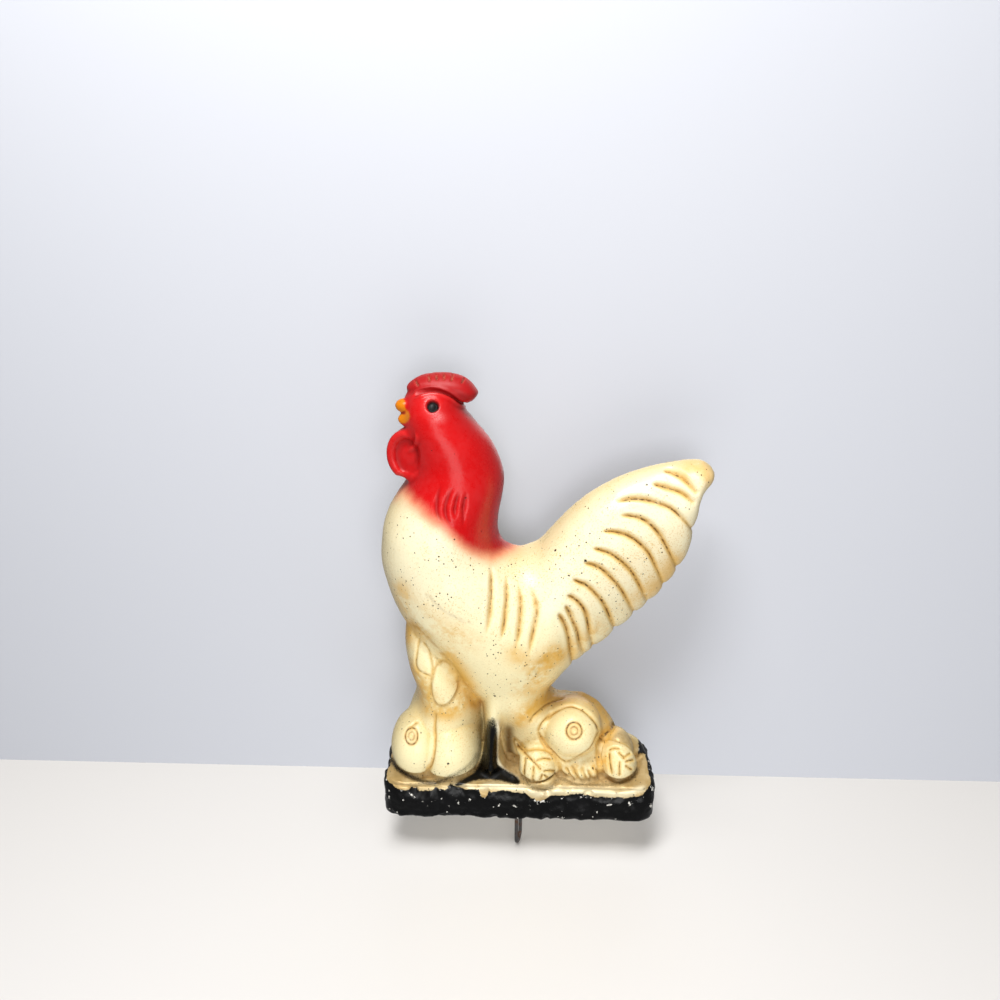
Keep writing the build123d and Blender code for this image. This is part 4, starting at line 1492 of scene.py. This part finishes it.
class ROOSTER_OT_casting(bpy.types.Operator):
    """Casts the rooster with its plinth, fruit and leaves, carves it and paints it"""

    bl_idname = "rooster.casting"
    bl_label = "Cast the rooster"

    def execute(self, context):
        scene = context.scene
        sizes, paints = scene.rooster_sizes, scene.rooster_paints
        mesh = skin_mesh(sizes)
        skin = Skin(mesh, scene.rooster_stage, sizes.skin_grain)
        skin.relax(SKIN_ROUNDS)
        skin.look()
        skin.relax(JOINT_ROUNDS, blend_joints(skin))
        skin.look()
        cut = Carving(skin)
        carve_lines(cut)
        round_lobes(skin, cut)
        dish_wattle(skin, cut)
        ring_blossoms(skin, cut)
        dent_bird(skin, cut)
        shape_plinth(skin, sizes, cut)
        eye = sink_eye(skin, sizes, cut)
        cut.apply()
        pocket = open_pocket(skin)
        skin.look()
        store_masks(mesh, paint_masks(skin, sizes, cut, eye))
        groups = (pinhole_group(), mottle_group())
        mesh.materials.clear()
        mesh.materials.append(painted_plaster(paints, *groups))
        mesh.materials.append(bare_plaster(paints, *groups))
        under = (skin.points[:, 2] < UNDERSIDE_Z + 0.9 * MM) & (skin.normals[:, 2] < -0.8)
        mesh.polygons.foreach_set("material_index", whole_faces(mesh, skin.on_back | pocket | under))
        mesh.polygons.foreach_set("use_smooth", whole_faces(mesh, skin.on_back & ~pocket) == 0)
        mesh.update()
        mesh = thin_mesh(mesh, sizes.most_triangles)
        figure = bpy.data.objects.new("painted_rooster", mesh)
        context.scene.collection.objects.link(figure)
        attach(figure, "root")
        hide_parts("plaster_casting")
        print("skin faces", len(mesh.polygons), "triangles", len(mesh.loops) - 2 * len(mesh.polygons))
        return {"FINISHED"}


class ROOSTER_OT_wires(bpy.types.Operator):
    """Gives the loop below the plinth and the hanger staple their worn steel"""

    bl_idname = "rooster.wires"
    bl_label = "Finish the wires"

    def execute(self, context):
        steel = worn_steel(bpy.data.node_groups["mottle"])
        for name in ("base_loop", "hanger_staple"):
            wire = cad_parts[name]
            wire.material_slots[0].link = "OBJECT"
            wire.material_slots[0].material = steel
        return {"FINISHED"}


class ROOSTER_OT_stage(bpy.types.Operator):
    """Sets the floor, the backdrop, the soft lamps and the camera"""

    bl_idname = "rooster.stage"
    bl_label = "Set the stage"

    def execute(self, context):
        stage = context.scene.rooster_stage
        reach, floor_z, wall_y = STAGE_REACH, loop_low.z - 0.2 * MM, BACK_Y + stage.wall_gap
        floor = [(-reach, -reach), (reach, -reach), (reach, wall_y), (-reach, wall_y)]
        wall = [(-reach, floor_z), (reach, floor_z), (reach, floor_z + reach), (-reach, floor_z + reach)]
        self.sheet("floor", [(x, y, floor_z) for x, y in floor],
                   plain_stage("pale_floor", tone("floor"), 0.5))
        self.sheet("backdrop", [(x, wall_y, z) for x, z in wall],
                   plain_stage("pale_backdrop", tone("backdrop"), 0.6))
        for name, setting in LAMPS.items():
            self.lamp(name, *setting).visible_glossy = name != "bounce"
        world = bpy.data.worlds.new("soft_room")
        context.scene.world = world
        world.use_nodes = True
        background = world.node_tree.nodes["Background"]
        background.inputs["Color"].default_value = (1.0, 1.0, 1.0, 1.0)
        background.inputs["Strength"].default_value = ROOM_LIGHT
        camera = bpy.data.objects.new("camera", bpy.data.cameras.new("camera"))
        context.scene.collection.objects.link(camera)
        camera.location = stage.camera_place
        camera.rotation_euler = (math.pi / 2 - stage.camera_tilt, 0, stage.camera_turn)
        camera.data.sensor_width = 36.0
        camera.data.lens = stage.focal_px / PHOTO_SIZE * camera.data.sensor_width
        context.scene.camera = camera
        context.scene.view_settings.view_transform = "Standard"
        return {"FINISHED"}

    def sheet(self, name, corners, material):
        """A flat sheet between four corners, facing the object."""
        mesh = bpy.data.meshes.new(name)
        mesh.from_pydata(corners, [], [(0, 1, 2, 3)])
        mesh.materials.append(material)
        made = bpy.data.objects.new(name, mesh)
        bpy.context.scene.collection.objects.link(made)

    def lamp(self, name, place, aim, size, power):
        """A square soft lamp that looks at a point."""
        data = bpy.data.lights.new(name, "AREA")
        data.shape, data.size, data.energy = "SQUARE", size, power
        made = bpy.data.objects.new(name, data)
        bpy.context.scene.collection.objects.link(made)
        made.location = place
        away = made.location - type(made.location)(aim)
        made.rotation_euler = away.to_track_quat("Z", "Y").to_euler()
        return made


class ROOSTER_PT_panel(bpy.types.Panel):
    """Lists the steps that build the rooster"""

    bl_label = "Rooster"
    bl_space_type = "VIEW_3D"
    bl_region_type = "UI"
    bl_category = "Rooster"

    def draw(self, context):
        for step in STEPS:
            self.layout.operator(step.bl_idname)
        for group_name in GROUPS:
            group = getattr(context.scene, group_name)
            for name in type(group).__annotations__:
                self.layout.prop(group, name)


GROUPS = {"rooster_sizes": RoosterSizes, "rooster_paints": RoosterPaints, "rooster_stage": RoosterStage}
STEPS = (ROOSTER_OT_casting, ROOSTER_OT_wires, ROOSTER_OT_stage)


def register():
    """Registers the classes and hangs the settings on the scene."""
    for item in (*GROUPS.values(), *STEPS, ROOSTER_PT_panel):
        bpy.utils.register_class(item)
    for name, group in GROUPS.items():
        setattr(bpy.types.Scene, name, bpy.props.PointerProperty(type=group))


def unregister():
    """Takes the settings and the classes off again."""
    for name in GROUPS:
        delattr(bpy.types.Scene, name)
    for item in (ROOSTER_PT_panel, *reversed(STEPS), *reversed(list(GROUPS.values()))):
        bpy.utils.unregister_class(item)


def main():
    register()
    bpy.ops.rooster.casting()
    bpy.ops.rooster.wires()
    bpy.ops.rooster.stage()


if __name__ == "__main__":
    main()
